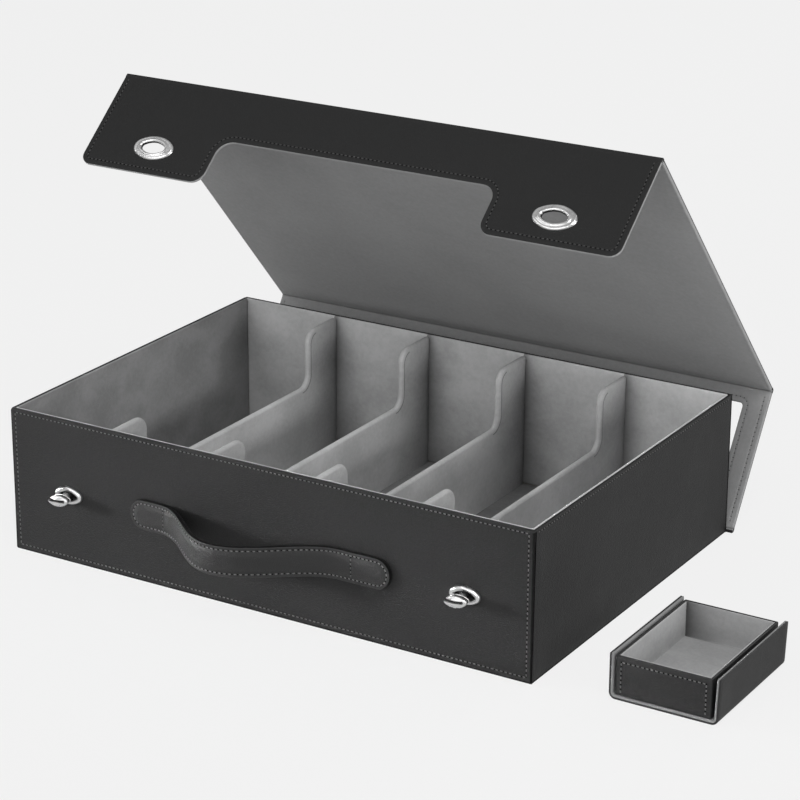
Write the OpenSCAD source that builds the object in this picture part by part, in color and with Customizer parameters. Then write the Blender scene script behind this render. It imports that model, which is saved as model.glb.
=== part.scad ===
// Trading card storage box: a leather covered case with five rows, a three panel fold-over cover,
// two turn-locks, a strap handle, and a small card tray in its sleeve. Millimetres, +Z up.
// The origin is the centre of the case's underside, and the front faces -Y.

/* [Case] */
// Width of the case across its front
case_w = 440; // [420:1:470]
// Depth of the case from front to back
case_d = 308; // [290:1:330]
// Height of the case
case_h = 112; // [104:1:124]
// Leather skin of the case walls
leather_t = 1.0; // [0.8:0.1:1.4]
// Board inside the case walls
board_t = 2.2; // [1.8:0.1:3.0]
// Velvet lining of the case walls
lining_t = 0.8; // [0.6:0.1:1.2]
// Rounding of the front panel where it turns over the rim
rim_r = 1.6; // [0.8:0.1:2.0]

/* [Dividers] */
// Thickness of a covered divider
divider_t = 5.0; // [4.0:0.5:7.0]
// Velvet on each face of a divider
divider_cover_t = 1.0; // [0.8:0.1:1.4]
// How far the tall ends of a divider stop below the rim
divider_drop = 1.2; // [1:0.1:8]
// Height of a divider's low middle edge above the row floor
divider_low_h = 61.5; // [50:0.5:75]
// Length of each tall end along the row
divider_tab_l = 42; // [38:1:60]
// Rounding of the tall ends' top corners
divider_top_r = 12; // [6:1:16]
// Rounding where the tall ends meet the low edge
divider_foot_r = 9; // [4:1:14]

/* [Cover] */
// How far the cover stands past the case at each side
cover_over = 5; // [2:0.5:8]
// Leather skin of the cover
cover_leather_t = 0.9; // [0.7:0.1:1.2]
// Board inside the cover
cover_board_t = 1.5; // [1.2:0.1:2.0]
// Velvet lining of the cover
cover_lining_t = 0.8; // [0.6:0.1:1.2]
// How far the lining turns over the board's edge
cover_lip = 1.2; // [0.8:0.1:2.0]
// Clearance between the closed cover and the case
cover_gap = 0.5; // [0.4:0.1:1.5]
// Length of the front flap from its fold
flap_l = 82; // [76:1:90]
// Distance from the front fold to the flap's middle edge
flap_mid_l = 43; // [34:1:46]
// Half width of the cut-out that clears the handle
flap_cut_half = 116; // [112:1:124]
// Rounding of the flap's outer corners
flap_corner_r = 8.5; // [4:0.5:12]
// Rounding of the flap's corners beside the cut-out
flap_tab_r = 10; // [5:0.5:14]
// Rounding inside the cut-out
flap_cut_r = 12; // [5:0.5:16]
// Border at the sides of the window in the rear panel
window_side = 20; // [14:1:24]
// Border above that window, under the top fold
window_head = 12; // [9:1:24]
// Border below that window
window_foot = 18; // [14:1:24]
// Corner rounding of that window
window_r = 3.5; // [3:0.5:8]

/* [Cover at rest] */
// Lean of the rear panel behind the upright
spine_lean = 33; // [20:1:45]
// Turn from the rear panel to the top panel, a right angle when closed
top_turn = 75; // [60:1:88]
// Turn from the top panel to the front flap, a right angle when closed
flap_turn = 88.5; // [70:0.5:89.5]

/* [Handle] */
// Distance from the case's middle to each end of the strap
handle_half = 110; // [106:1:111]
// Width of the strap
handle_w = 23; // [18:1:28]
// Height of the strap's middle above the base
handle_z = 54.5; // [48:0.5:58]
// How far the strap arches off the case
handle_arch = 40; // [32:1:46]
// Place of the arch's crown across the front
handle_crown_x = -13; // [-20:1:0]
// Reach of the arch left of its crown
handle_reach_left = 72; // [60:1:78]
// Reach of the arch right of its crown
handle_reach_right = 82; // [70:1:90]
// Leather on the strap's inner side
strap_inner_t = 1.0; // [0.8:0.1:1.4]
// Filler inside the strap
strap_core_t = 1.4; // [1.0:0.1:2.0]
// Leather on the strap's outer side
strap_outer_t = 1.2; // [1.0:0.1:1.6]
// Turned edge round the strap's filler
strap_edge = 3.0; // [2:0.5:4]

/* [Turn-locks] */
// Distance from the side of the flap's cut-out to each lock
lock_inset = 52; // [44:1:70]
// Height of the locks above the base
lock_z = 54; // [50:0.5:58]
// Half length of a lock's oval base
lock_half_l = 12; // [11:0.2:12.6]
// Half height of a lock's oval base
lock_half_h = 6.8; // [6.6:0.1:7.2]
// Height of the base's rim off the leather
lock_rim_h = 2.6; // [2.0:0.1:2.8]
// Width of that rim
lock_rim_w = 1.6; // [1.2:0.1:1.8]
// Plate under the base's channel
lock_floor_t = 0.9; // [0.6:0.1:1.2]
// Radius of the barrel that goes through the wall
lock_barrel_r = 4.6; // [4.4:0.1:4.8]
// Height of the barrel off the leather
lock_barrel_h = 3.4; // [3.0:0.1:3.8]
// Radius of the knob's neck
lock_neck_r = 3.0; // [2.6:0.1:3.1]
// Running clearance of the neck in its barrel
lock_fit = 0.08; // [0.05:0.01:0.10]
// Space under the knob, off the leather
knob_under = 9.6; // [8:0.2:12]
// Thickness of the knob
knob_t = 5.2; // [4:0.2:6]
// Half length of the oval knob
knob_half_l = 9.0; // [8:0.1:9.4]
// Half width of the oval knob
knob_half_w = 4.5; // [4.2:0.1:4.6]
// Width of the groove in the knob's face
groove_w = 1.6; // [1:0.1:2]
// Depth of that groove
groove_d = 1.2; // [0.6:0.1:1.6]

/* [Eyelets] */
// Half length of the oval hole in an eyelet
eye_half_l = 10.75; // [10.4:0.05:11.2]
// Half height of that hole
eye_half_h = 5.25; // [5.1:0.05:5.6]
// Width of the eyelet's domed ring
eye_ring_w = 6.0; // [5:0.1:7]
// Height of the ring's dome off the leather
eye_dome_h = 1.6; // [1.0:0.1:2.2]
// Width of the barrel's wall
eye_barrel_t = 0.7; // [0.5:0.1:1.0]
// Space round the lock base inside the closed flap
eye_nest = 1.2; // [0.8:0.1:1.6]

/* [Card tray and sleeve] */
// Outer width of the tray
tray_w = 70.5; // [68:0.5:76]
// Outer depth of the tray
tray_d = 105; // [98:1:112]
// Height of the tray
tray_h = 29; // [24:1:34]
// Space between the tray and the sleeve's left wall
tray_gap_left = 1.2; // [1.2:0.1:2]
// Space between the tray and the sleeve's right wall
tray_gap_right = 2.6; // [1.2:0.1:4]
// Rest clearance under the tray
tray_under = 0.3; // [0.3:0.1:0.5]
// Depth of the sleeve
sleeve_d = 107; // [100:1:116]
// Height of the sleeve
sleeve_h = 33.5; // [28:0.5:38]
// Outward lean of the sleeve's right wall
sleeve_flare = 2; // [0:0.5:5]
// Outer rounding of the sleeve's lower corners
sleeve_r = 5; // [4:0.5:8]
// Board inside the sleeve and the tray
small_board_t = 1.2; // [1.0:0.1:1.6]
// Space between the case and the sleeve beside it
sleeve_apart = 53; // [30:1:90]
// Distance from the case's middle forward to the sleeve's front
sleeve_front = 144; // [100:1:160]

/* [Hidden] */
$fn = 64;
eps = 0.01;
past = 1;
arc_steps = 6;
sweep_sink = 0.3;
oval_stand = 0.04;
case_wall = leather_t + board_t + lining_t;
skin_t = leather_t + board_t;
half_w = case_w / 2;
half_d = case_d / 2;
lock_x = flap_cut_half + lock_inset;
row_w = case_w - 2 * case_wall;
row_d = case_d - 2 * case_wall;
row_floor = case_wall;

divider_count = 4;
row_pitch = (row_w - divider_count * divider_t) / (divider_count + 1) + divider_t;
divider_h = case_h - divider_drop - row_floor;

cover_t = cover_leather_t + cover_board_t + cover_lining_t;
cover_half_t = cover_t / 2;
cover_half_w = half_w + cover_over;
fold_off = cover_gap + cover_half_t;
crease_clear = 0.3;
fold_end = cover_half_t + crease_clear;
crease_web = cover_leather_t;
spine_l = case_h + fold_off - cover_half_t;
top_l = case_d + 2 * fold_off;
leather_y = cover_half_t - cover_leather_t;
lining_y = cover_lining_t - cover_half_t;

strap_t = strap_inner_t + strap_core_t + strap_outer_t;
arch_steps = 40;

knob_edge_r = 1.5;
spring_room = 0.6;
spring_well_r = lock_neck_r + 0.8;
neck_head_t = 0.6;
lock_plate_t = 0.8;
lock_plate_grow = 1.0;
barrel_low = -skin_t;
neck_low = barrel_low + 0.2;
spring_slack = 0.05;

eye_plate_grow = 3.2;
eye_lip_y = cover_half_t - 0.5;
eye_inner_l = lock_half_l + eye_nest;
eye_inner_h = lock_half_h + eye_nest;
eye_wall_l = eye_inner_l + eye_barrel_t;
eye_wall_h = eye_inner_h + eye_barrel_t;
eye_lip_w = (eye_inner_l - eye_half_l + eye_inner_h - eye_half_h + eye_barrel_t) / 2;
eye_sink = 0.3;
eye_lap = 1.0;
eye_along = case_h + fold_off - lock_z;

small_wall = leather_t + small_board_t + lining_t;
tray_x = half_w + sleeve_apart + small_wall + tray_gap_left;
tray_z = small_wall + tray_under;
sleeve_x = half_w + sleeve_apart;
sleeve_w = tray_w + tray_gap_left + tray_gap_right + 2 * small_wall;
sleeve_y = -sleeve_front;
tray_y = sleeve_y + (sleeve_d - tray_d) / 2;

leather_colour = [0.13, 0.13, 0.135];
cover_colour = [0.10, 0.10, 0.105];
board_colour = [0.55, 0.47, 0.36];
velvet_colour = [0.45, 0.45, 0.455];
metal_colour = [0.86, 0.87, 0.88];
thread_colour = [0.30, 0.30, 0.31];

// Four-arc oval of half sizes a and b, its arcs meeting on a 3-4-5 slope: the step between centres,
// and the radii of the end and side arcs
function oval_step(a, b) = (a - b) / 2;
function oval_end_r(a, b) = b - oval_step(a, b);
function oval_side_r(a, b) = b + 4 * oval_step(a, b);

// Flat oval. The end circles stand out a hair, so each one crosses the side arcs
module oval(a, b) {
    m = oval_step(a, b);
    intersection() {
        translate([0, 4 * m]) circle(oval_side_r(a, b), $fn = 128);
        translate([0, -4 * m]) circle(oval_side_r(a, b), $fn = 128);
        square([2 * (3 * m + 0.6 * oval_end_r(a, b)), 2 * b + 2 * past], center = true);
    }
    for (side = [-1, 1])
        translate([side * 3 * m, 0]) circle(oval_end_r(a, b) + oval_stand);
}

// Carries a section round the same oval, up to a height: the section's x is the distance outside
module oval_sweep(a, b, height) {
    m = oval_step(a, b);
    far = 4 * a;
    for (flip = [0, 180])
        rotate(flip) {
            intersection() {
                translate([3 * m, 0, 0])
                    rotate_extrude() translate([oval_end_r(a, b), 0]) children();
                translate([0, 0, -past]) linear_extrude(height + 2 * past)
                    polygon([[3 * m, 0], [3 * m + 3 * far, 4 * far], [3 * m + 3 * far, -4 * far]]);
            }
            intersection() {
                translate([0, -4 * m, 0])
                    rotate_extrude($fn = 128) translate([oval_side_r(a, b), 0]) children();
                translate([0, 0, -past]) linear_extrude(height + 2 * past)
                    polygon([[0, -4 * m], [3 * far, 4 * far - 4 * m], [-3 * far, 4 * far - 4 * m]]);
            }
        }
}

// Points along an arc, for a section that is swept
function arc(x, y, r, from, to) =
    [for (i = [0 : arc_steps])
        let (a = from + (to - from) * i / arc_steps)
            [x + r * cos(a), y + r * sin(a)]];

// What is cut away outside a rounded corner whose arc is centred at the origin
module corner_waste(r) {
    difference() {
        square(r + past);
        circle(r);
    }
}

// Flat rectangle with rounded corners, from a low corner
module rounded_rect(x0, y0, w, h, r) {
    translate([x0 + r, y0]) square([w - 2 * r, h]);
    translate([x0, y0 + r]) square([w, h - 2 * r]);
    for (x = [x0 + r, x0 + w - r], y = [y0 + r, y0 + h - r])
        translate([x, y]) circle(r);
}

// Extrudes a plan in X and Z between two distances along Y
module between_y(y0, y1) {
    translate([0, y1, 0]) rotate([90, 0, 0]) linear_extrude(y1 - y0) children();
}

// Extrudes a section in Y and Z between two distances along X
module between_x(x0, x1) {
    translate([x0, 0, 0]) rotate([90, 0, 90]) linear_extrude(x1 - x0) children();
}

// Puts its children on the case's front: x across, y up, z outwards
module on_front(x, z) {
    translate([x, -half_d, z]) rotate([90, 0, 0]) children();
}

// Holes through the front wall for both lock barrels
module lock_holes() {
    for (side = [-1, 1])
        on_front(side * lock_x, lock_z)
            translate([0, 0, -case_wall - past])
                cylinder(r = lock_barrel_r, h = case_wall + 2 * past);
}

// Case skins

module base_leather() {
    color(leather_colour)
        translate([leather_t - half_w, leather_t - half_d, 0])
            cube([case_w - 2 * leather_t, case_d - 2 * leather_t, leather_t]);
}

// The front panel turns over the rim, and its upright edges are rounded
module front_leather() {
    color(leather_colour)
        difference() {
            intersection() {
                between_x(-half_w, half_w)
                    difference() {
                        translate([-half_d, 0]) square([case_wall, case_h]);
                        translate([leather_t - half_d, -past])
                            square([case_wall, case_h - leather_t + past]);
                        translate([rim_r - half_d, case_h - rim_r]) rotate(90) corner_waste(rim_r);
                    }
                linear_extrude(case_h)
                    difference() {
                        translate([-half_w, -half_d]) square([case_w, case_wall]);
                        for (side = [0, 1])
                            mirror([side, 0])
                                translate([half_w - leather_t, leather_t - half_d]) rotate(-90)
                                    corner_waste(leather_t);
                    }
            }
            lock_holes();
        }
}

module back_leather() {
    color(leather_colour)
        translate([-half_w, half_d - leather_t, 0]) cube([case_w, leather_t, case_h]);
}

module side_leather() {
    color(leather_colour)
        between_y(leather_t - half_d, half_d - leather_t)
            difference() {
                translate([half_w - leather_t, 0]) square([leather_t, case_h]);
                translate([half_w - leather_t / 2, case_h - leather_t / 2])
                    corner_waste(leather_t / 2);
            }
}

module left_leather() {
    mirror([1, 0, 0]) side_leather();
}

module right_leather() {
    side_leather();
}

// Case boards

module bottom_board() {
    color(board_colour)
        translate([leather_t - half_w, leather_t - half_d, leather_t])
            cube([case_w - 2 * leather_t, case_d - 2 * leather_t, board_t]);
}

// The locks' backing plates lie in pockets on the board's inner face
module front_board() {
    color(board_colour)
        difference() {
            translate([leather_t - half_w, leather_t - half_d, skin_t])
                cube([case_w - 2 * leather_t, board_t, case_h - leather_t - skin_t]);
            lock_holes();
            for (side = [-1, 1])
                on_front(side * lock_x, lock_z)
                    translate([0, 0, -skin_t - past]) linear_extrude(lock_plate_t + past)
                        lock_plate_outline();
        }
}

module back_board() {
    color(board_colour)
        translate([leather_t - half_w, half_d - skin_t, skin_t])
            cube([case_w - 2 * leather_t, board_t, case_h - lining_t - skin_t]);
}

module side_board() {
    color(board_colour)
        translate([half_w - skin_t, skin_t - half_d, skin_t])
            cube([board_t, case_d - 2 * skin_t, case_h - lining_t - skin_t]);
}

module left_board() {
    mirror([1, 0, 0]) side_board();
}

module right_board() {
    side_board();
}

// Case linings: the side and back linings turn over the rim of their boards

module floor_lining() {
    color(velvet_colour)
        translate([skin_t - half_w, skin_t - half_d, skin_t])
            cube([case_w - 2 * skin_t, case_d - 2 * skin_t, lining_t]);
}

module front_lining() {
    color(velvet_colour)
        translate([skin_t - half_w, skin_t - half_d, row_floor])
            cube([case_w - 2 * skin_t, lining_t, case_h - leather_t - row_floor]);
}

module back_lining() {
    color(velvet_colour)
        between_x(skin_t - half_w, half_w - skin_t)
            difference() {
                translate([half_d - case_wall, row_floor])
                    square([lining_t + board_t, case_h - row_floor]);
                translate([half_d - skin_t, row_floor - past])
                    square([board_t + past, case_h - lining_t - row_floor + past]);
            }
}

module side_lining() {
    color(velvet_colour)
        between_y(case_wall - half_d, half_d - case_wall)
            difference() {
                translate([half_w - case_wall, row_floor])
                    square([lining_t + board_t, case_h - row_floor]);
                translate([half_w - skin_t, row_floor - past])
                    square([board_t + past, case_h - lining_t - row_floor + past]);
            }
}

module left_lining() {
    mirror([1, 0, 0]) side_lining();
}

module right_lining() {
    side_lining();
}

// Side view of a divider, inset all round its upper edge: tall rounded ends and a low middle
module divider_outline(inset) {
    top = divider_h - inset;
    low = divider_low_h - inset;
    tab = divider_tab_l - inset;
    top_r = divider_top_r - inset;
    foot_r = divider_foot_r + inset;
    translate([-row_d / 2, 0]) square([row_d, low]);
    for (side = [0, 1])
        mirror([side, 0])
            translate([-row_d / 2, 0]) {
                difference() {
                    square([tab, top]);
                    translate([tab - top_r, top - top_r]) corner_waste(top_r);
                }
                difference() {
                    translate([tab - past, low - past]) square([foot_r + past, foot_r + past]);
                    translate([tab + foot_r, low + foot_r]) circle(foot_r);
                }
            }
}

module at_divider(index) {
    translate([index * row_pitch - divider_t - row_w / 2, 0, row_floor]) children();
}

module divider_board_solid() {
    between_x(divider_cover_t, divider_t - divider_cover_t) divider_outline(divider_cover_t);
}

module divider_cover(index) {
    color(velvet_colour)
        at_divider(index)
            difference() {
                between_x(0, divider_t) divider_outline(0);
                divider_board_solid();
            }
}

module divider_boards() {
    color(board_colour)
        for (index = [1 : divider_count])
            at_divider(index) divider_board_solid();
}

// Cover panels: each has a frame of its own, X across, Z away from its lower fold, +Y outwards

module spine_frame() {
    translate([0, half_d + fold_off, cover_half_t]) rotate([-spine_lean, 0, 0]) children();
}

module top_frame() {
    spine_frame() translate([0, 0, spine_l]) rotate([top_turn, 0, 0]) children();
}

module flap_frame() {
    top_frame() translate([0, 0, top_l]) rotate([flap_turn, 0, 0]) children();
}

// Leather bead on a fold, with the web that carries it
module crease_section() {
    circle(cover_half_t);
    translate([-crease_web / 2, -fold_end]) square([crease_web, fold_end]);
}

// The base leather runs on under the rear fold
module rear_crease() {
    color(cover_colour)
        between_x(-cover_half_w, cover_half_w)
            translate([half_d + fold_off, cover_half_t]) {
                circle(cover_half_t);
                translate([-fold_off, -cover_half_t]) square([fold_off, crease_web]);
            }
}

module top_crease() {
    color(cover_colour)
        spine_frame() translate([0, 0, spine_l])
            between_x(-cover_half_w, cover_half_w) crease_section();
}

module front_crease() {
    color(cover_colour)
        top_frame() translate([0, 0, top_l])
            between_x(-cover_half_w, cover_half_w) crease_section();
}

module panel_outline(length, inset) {
    translate([inset - cover_half_w, fold_end + inset])
        square([2 * (cover_half_w - inset), length - 2 * (fold_end + inset)]);
}

// The rear panel is a frame round a window
module spine_outline(inset) {
    side = window_side - inset;
    foot = fold_end + window_foot - inset;
    head = fold_end + window_head - inset;
    difference() {
        panel_outline(spine_l, inset);
        rounded_rect(side - cover_half_w, foot, 2 * (cover_half_w - side), spine_l - foot - head,
                     window_r + inset);
    }
}

// The flap's cut-out clears the handle, and its tabs carry the eyelets
module flap_outline(inset) {
    cut = flap_cut_half + inset;
    mid = flap_mid_l - inset;
    cut_r = flap_cut_r + inset;
    tab_r = flap_tab_r - inset;
    end_r = flap_corner_r - inset;
    difference() {
        translate([inset - cover_half_w, fold_end + inset])
            square([2 * (cover_half_w - inset), flap_l - fold_end - 2 * inset]);
        rounded_rect(-cut, mid, 2 * cut, 2 * (flap_l - mid), cut_r);
        for (side = [0, 1])
            mirror([side, 0]) {
                translate([cover_half_w - inset - end_r, flap_l - inset - end_r])
                    corner_waste(end_r);
                translate([cut + tab_r, flap_l - inset - tab_r]) rotate(90) corner_waste(tab_r);
            }
    }
}

// Both eyelets' outlines in the flap's frame
module at_eyelets() {
    for (side = [-1, 1])
        translate([side * lock_x, eye_along]) children();
}

module eye_barrel_outline() {
    oval(eye_wall_l, eye_wall_h);
}

module eye_plate_outline() {
    oval(eye_wall_l + eye_plate_grow, eye_wall_h + eye_plate_grow);
}

module spine_leather() {
    color(cover_colour)
        spine_frame() between_y(leather_y, cover_half_t) spine_outline(0);
}

module spine_board() {
    color(board_colour)
        spine_frame() between_y(lining_y, leather_y) spine_outline(cover_lip);
}

module spine_lining() {
    color(velvet_colour)
        spine_frame()
            difference() {
                between_y(-cover_half_t, leather_y) spine_outline(0);
                between_y(lining_y, leather_y + past) spine_outline(cover_lip);
            }
}

module top_leather() {
    color(cover_colour)
        top_frame() between_y(leather_y, cover_half_t) panel_outline(top_l, 0);
}

module top_board() {
    color(board_colour)
        top_frame() between_y(lining_y, leather_y) panel_outline(top_l, cover_lip);
}

module top_lining() {
    color(velvet_colour)
        top_frame()
            difference() {
                between_y(-cover_half_t, leather_y) panel_outline(top_l, 0);
                between_y(lining_y, leather_y + past) panel_outline(top_l, cover_lip);
            }
}

module flap_leather() {
    color(cover_colour)
        flap_frame()
            between_y(leather_y, cover_half_t)
                difference() {
                    flap_outline(0);
                    at_eyelets() eye_barrel_outline();
                }
}

module flap_board() {
    color(board_colour)
        flap_frame()
            between_y(lining_y, leather_y)
                difference() {
                    flap_outline(cover_lip);
                    at_eyelets() eye_barrel_outline();
                }
}

module flap_lining() {
    color(velvet_colour)
        flap_frame()
            difference() {
                between_y(-cover_half_t, leather_y) flap_outline(0);
                between_y(lining_y, leather_y + past) flap_outline(cover_lip);
                between_y(-cover_half_t - past, leather_y) at_eyelets() eye_plate_outline();
            }
}

// Eyelets: a domed oval ring with a barrel through the flap, and a flat plate behind it

module eye_frame(side) {
    flap_frame() translate([side * lock_x, 0, eye_along]) rotate([-90, 0, 0]) children();
}

// The ring's section: a low dome from the hole's edge to the rim, on a lip that narrows the barrel
module eye_ring_section() {
    half = eye_ring_w / 2;
    dome_r = (half * half + eye_dome_h * eye_dome_h) / (2 * eye_dome_h);
    spread = asin(half / dome_r);
    polygon(concat(
        [[0, eye_lip_y]],
        arc(half, cover_half_t + eye_dome_h - dome_r, dome_r, 90 + spread, 90 - spread),
        [[eye_lip_w, cover_half_t], [eye_lip_w, eye_lip_y]]
    ));
}

module eyelet(side) {
    color(metal_colour)
        eye_frame(side) {
            oval_sweep(eye_half_l, eye_half_h, cover_t + eye_dome_h) eye_ring_section();
            difference() {
                translate([0, 0, -cover_half_t]) linear_extrude(cover_t + eye_sink)
                    eye_barrel_outline();
                translate([0, 0, -cover_half_t - past])
                    linear_extrude(eye_lip_y + cover_half_t + past)
                        oval(eye_inner_l, eye_inner_h);
                translate([0, 0, -past]) linear_extrude(cover_t)
                    oval(eye_half_l + eye_lap, eye_half_h + eye_lap);
            }
        }
}

module eyelet_plate(side) {
    color(metal_colour)
        eye_frame(side)
            difference() {
                translate([0, 0, -cover_half_t]) linear_extrude(cover_lining_t) eye_plate_outline();
                translate([0, 0, -cover_half_t - past])
                    linear_extrude(cover_lining_t + 2 * past) eye_barrel_outline();
            }
}

// Strap handle: a leather strap sewn flat at both ends, arched off the case between them

// How far the strap's inner face stands off the case at x
function arch_reach(x) = x < handle_crown_x ? handle_reach_left : handle_reach_right;
function arch_part(x) = min(1, abs(x - handle_crown_x) / arch_reach(x));
function arch_off(x) = handle_arch * (1 + cos(180 * arch_part(x))) / 2;
function arch_slope(x) = -sign(x - handle_crown_x) * handle_arch * sin(180 * arch_part(x))
    * PI / (2 * arch_reach(x));

// A point of the strap at x, a distance t outside its inner face
function strap_point(x, t) =
    let (slope = arch_slope(x), size = sqrt(1 + slope * slope))
    [x - t * slope / size, -half_d - arch_off(x) - t / size];

arch_left = handle_crown_x - handle_reach_left;
arch_right = handle_crown_x + handle_reach_right;
strap_xs = concat(
    [-handle_half - past],
    [for (i = [0 : arch_steps]) arch_left + (arch_right - arch_left) * i / arch_steps],
    [handle_half + past]
);
strap_last = len(strap_xs) - 1;

module strap_band(t0, t1) {
    polygon(concat(
        [for (i = [0 : strap_last]) strap_point(strap_xs[i], t0)],
        [for (i = [strap_last : -1 : 0]) strap_point(strap_xs[i], t1)]
    ));
}

// Front view of the strap: its ends are half round
module strap_outline(inset) {
    r = handle_w / 2 - inset;
    span = handle_half - handle_w / 2;
    translate([-span, -r]) square([2 * span, 2 * r]);
    for (side = [-1, 1])
        translate([side * span, 0]) circle(r);
}

module strap_layer(t0, t1, inset) {
    intersection() {
        translate([0, 0, handle_z - handle_w]) linear_extrude(2 * handle_w) strap_band(t0, t1);
        translate([0, 0, handle_z])
            between_y(-half_d - handle_arch - strap_t - past, past - half_d) strap_outline(inset);
    }
}

module handle_inner() {
    color(leather_colour) strap_layer(0, strap_inner_t, 0);
}

module handle_core() {
    color(thread_colour) strap_layer(strap_inner_t, strap_inner_t + strap_core_t, strap_edge);
}

module handle_outer() {
    color(leather_colour)
        difference() {
            strap_layer(strap_inner_t, strap_t, 0);
            strap_layer(strap_inner_t - eps, strap_inner_t + strap_core_t, strap_edge);
        }
}

// Turn-locks: an oval base with a barrel through the wall, and a knob that turns in it

// The base's floor ends inside its rim
module lock_floor_outline() {
    inset = lock_rim_w / 2;
    oval(lock_half_l - inset, lock_half_h - inset);
}

module lock_plate_outline() {
    oval(lock_half_l - lock_plate_grow, lock_half_h + lock_plate_grow);
}

// The base's rim: upright sides and a round top
module lock_rim_section() {
    r = lock_rim_w / 2;
    polygon(concat([[0, 0]], arc(r, lock_rim_h - r, r, 180, 0), [[lock_rim_w, 0]]));
}

module lock_base(side) {
    color(metal_colour)
        on_front(side * lock_x, lock_z)
            difference() {
                union() {
                    linear_extrude(lock_floor_t) lock_floor_outline();
                    oval_sweep(lock_half_l - lock_rim_w, lock_half_h - lock_rim_w, lock_rim_h)
                        lock_rim_section();
                    translate([0, 0, barrel_low])
                        cylinder(r = lock_barrel_r, h = lock_barrel_h - barrel_low);
                }
                translate([0, 0, barrel_low - past])
                    cylinder(r = lock_neck_r + lock_fit, h = lock_barrel_h - barrel_low + 2 * past);
                translate([0, 0, barrel_low - past])
                    cylinder(r = spring_well_r, h = past - barrel_low - spring_room);
            }
}

// The knob's face has one groove along it, and its neck ends in a riveted head
module lock_knob(side) {
    color(metal_colour)
        on_front(side * lock_x, lock_z)
            difference() {
                union() {
                    translate([0, 0, knob_under]) linear_extrude(knob_t)
                        oval(knob_half_l - knob_edge_r, knob_half_w - knob_edge_r);
                    translate([0, 0, knob_under])
                        oval_sweep(knob_half_l - knob_edge_r, knob_half_w - knob_edge_r, knob_t)
                            knob_edge_section();
                    translate([0, 0, neck_low])
                        cylinder(r = lock_neck_r, h = knob_under + knob_edge_r - neck_low);
                    translate([0, 0, neck_low])
                        cylinder(r = spring_well_r - 2 * lock_fit, h = neck_head_t);
                }
                translate([-knob_half_l - past, -groove_w / 2, knob_under + knob_t - groove_d])
                    cube([2 * (knob_half_l + past), groove_w, groove_d + past]);
            }
}

// Half of the knob's edge: straight in the middle, round above and below
module knob_edge_section() {
    r = knob_edge_r;
    polygon(concat(
        [[-sweep_sink, 0]],
        arc(0, r, r, -90, 0), arc(0, knob_t - r, r, 0, 90),
        [[-sweep_sink, knob_t]]
    ));
}

module lock_plate(side) {
    color(metal_colour)
        on_front(side * lock_x, lock_z)
            translate([0, 0, -skin_t])
                difference() {
                    linear_extrude(lock_plate_t) lock_plate_outline();
                    translate([0, 0, -past])
                        cylinder(r = lock_barrel_r, h = lock_plate_t + 2 * past);
                }
}

// Spring ring between the barrel's shoulder and the neck's head
module lock_spring(side) {
    low = neck_low + neck_head_t + spring_slack;
    color(metal_colour)
        on_front(side * lock_x, lock_z)
            translate([0, 0, low])
                difference() {
                    cylinder(r = spring_well_r - lock_fit, h = -spring_room - spring_slack - low);
                    translate([0, 0, -past])
                        cylinder(r = lock_neck_r + lock_fit, h = skin_t + 2 * past);
                }
}

// Card sleeve: open above and at both ends, its right wall leaning out

// Front view of the sleeve's outer form, shrunk all round by d
module sleeve_form(d) {
    r = sleeve_r;
    right_x = sleeve_w - r + (r - d) * cos(sleeve_flare);
    right_z = r - (r - d) * sin(sleeve_flare);
    rise = sleeve_h + past - right_z;
    polygon([[d, sleeve_h + past], [d, r], [r, d], [sleeve_w - r, d], [right_x, right_z],
             [right_x + rise * tan(sleeve_flare), sleeve_h + past]]);
    for (x = [r, sleeve_w - r])
        translate([x, r]) circle(r - d);
}

module sleeve_layer(d0, d1, top, end) {
    translate([sleeve_x, 0, 0])
        between_y(sleeve_y + end, sleeve_y + sleeve_d - end)
            intersection() {
                difference() {
                    sleeve_form(d0);
                    sleeve_form(d1);
                }
                square([2 * sleeve_w, sleeve_h - top]);
            }
}

module sleeve_leather() {
    color(leather_colour) sleeve_layer(0, leather_t, 0, 0);
}

module sleeve_board() {
    color(board_colour)
        sleeve_layer(leather_t, leather_t + small_board_t, lining_t, lining_t);
}

module sleeve_lining() {
    color(velvet_colour)
        difference() {
            sleeve_layer(leather_t, small_wall, 0, 0);
            sleeve_board();
        }
}

// Card tray: a leather covered box, open above, its lining turned over the rim

module tray_block(inset, low, high) {
    translate([tray_x + inset, tray_y + inset, tray_z + low])
        cube([tray_w - 2 * inset, tray_d - 2 * inset, high - low]);
}

module tray_leather() {
    color(leather_colour)
        difference() {
            tray_block(0, 0, tray_h);
            tray_block(leather_t, leather_t, tray_h + past);
        }
}

module tray_bottom_board() {
    color(board_colour)
        tray_block(leather_t, leather_t, leather_t + small_board_t);
}

module tray_wall_board() {
    color(board_colour)
        difference() {
            tray_block(leather_t, leather_t + small_board_t, tray_h - lining_t);
            tray_block(leather_t + small_board_t, 0, tray_h + past);
        }
}

module tray_lining() {
    color(velvet_colour)
        difference() {
            tray_block(leather_t, leather_t + small_board_t, tray_h);
            tray_wall_board();
            tray_block(small_wall, small_wall, tray_h + past);
        }
}

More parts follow.
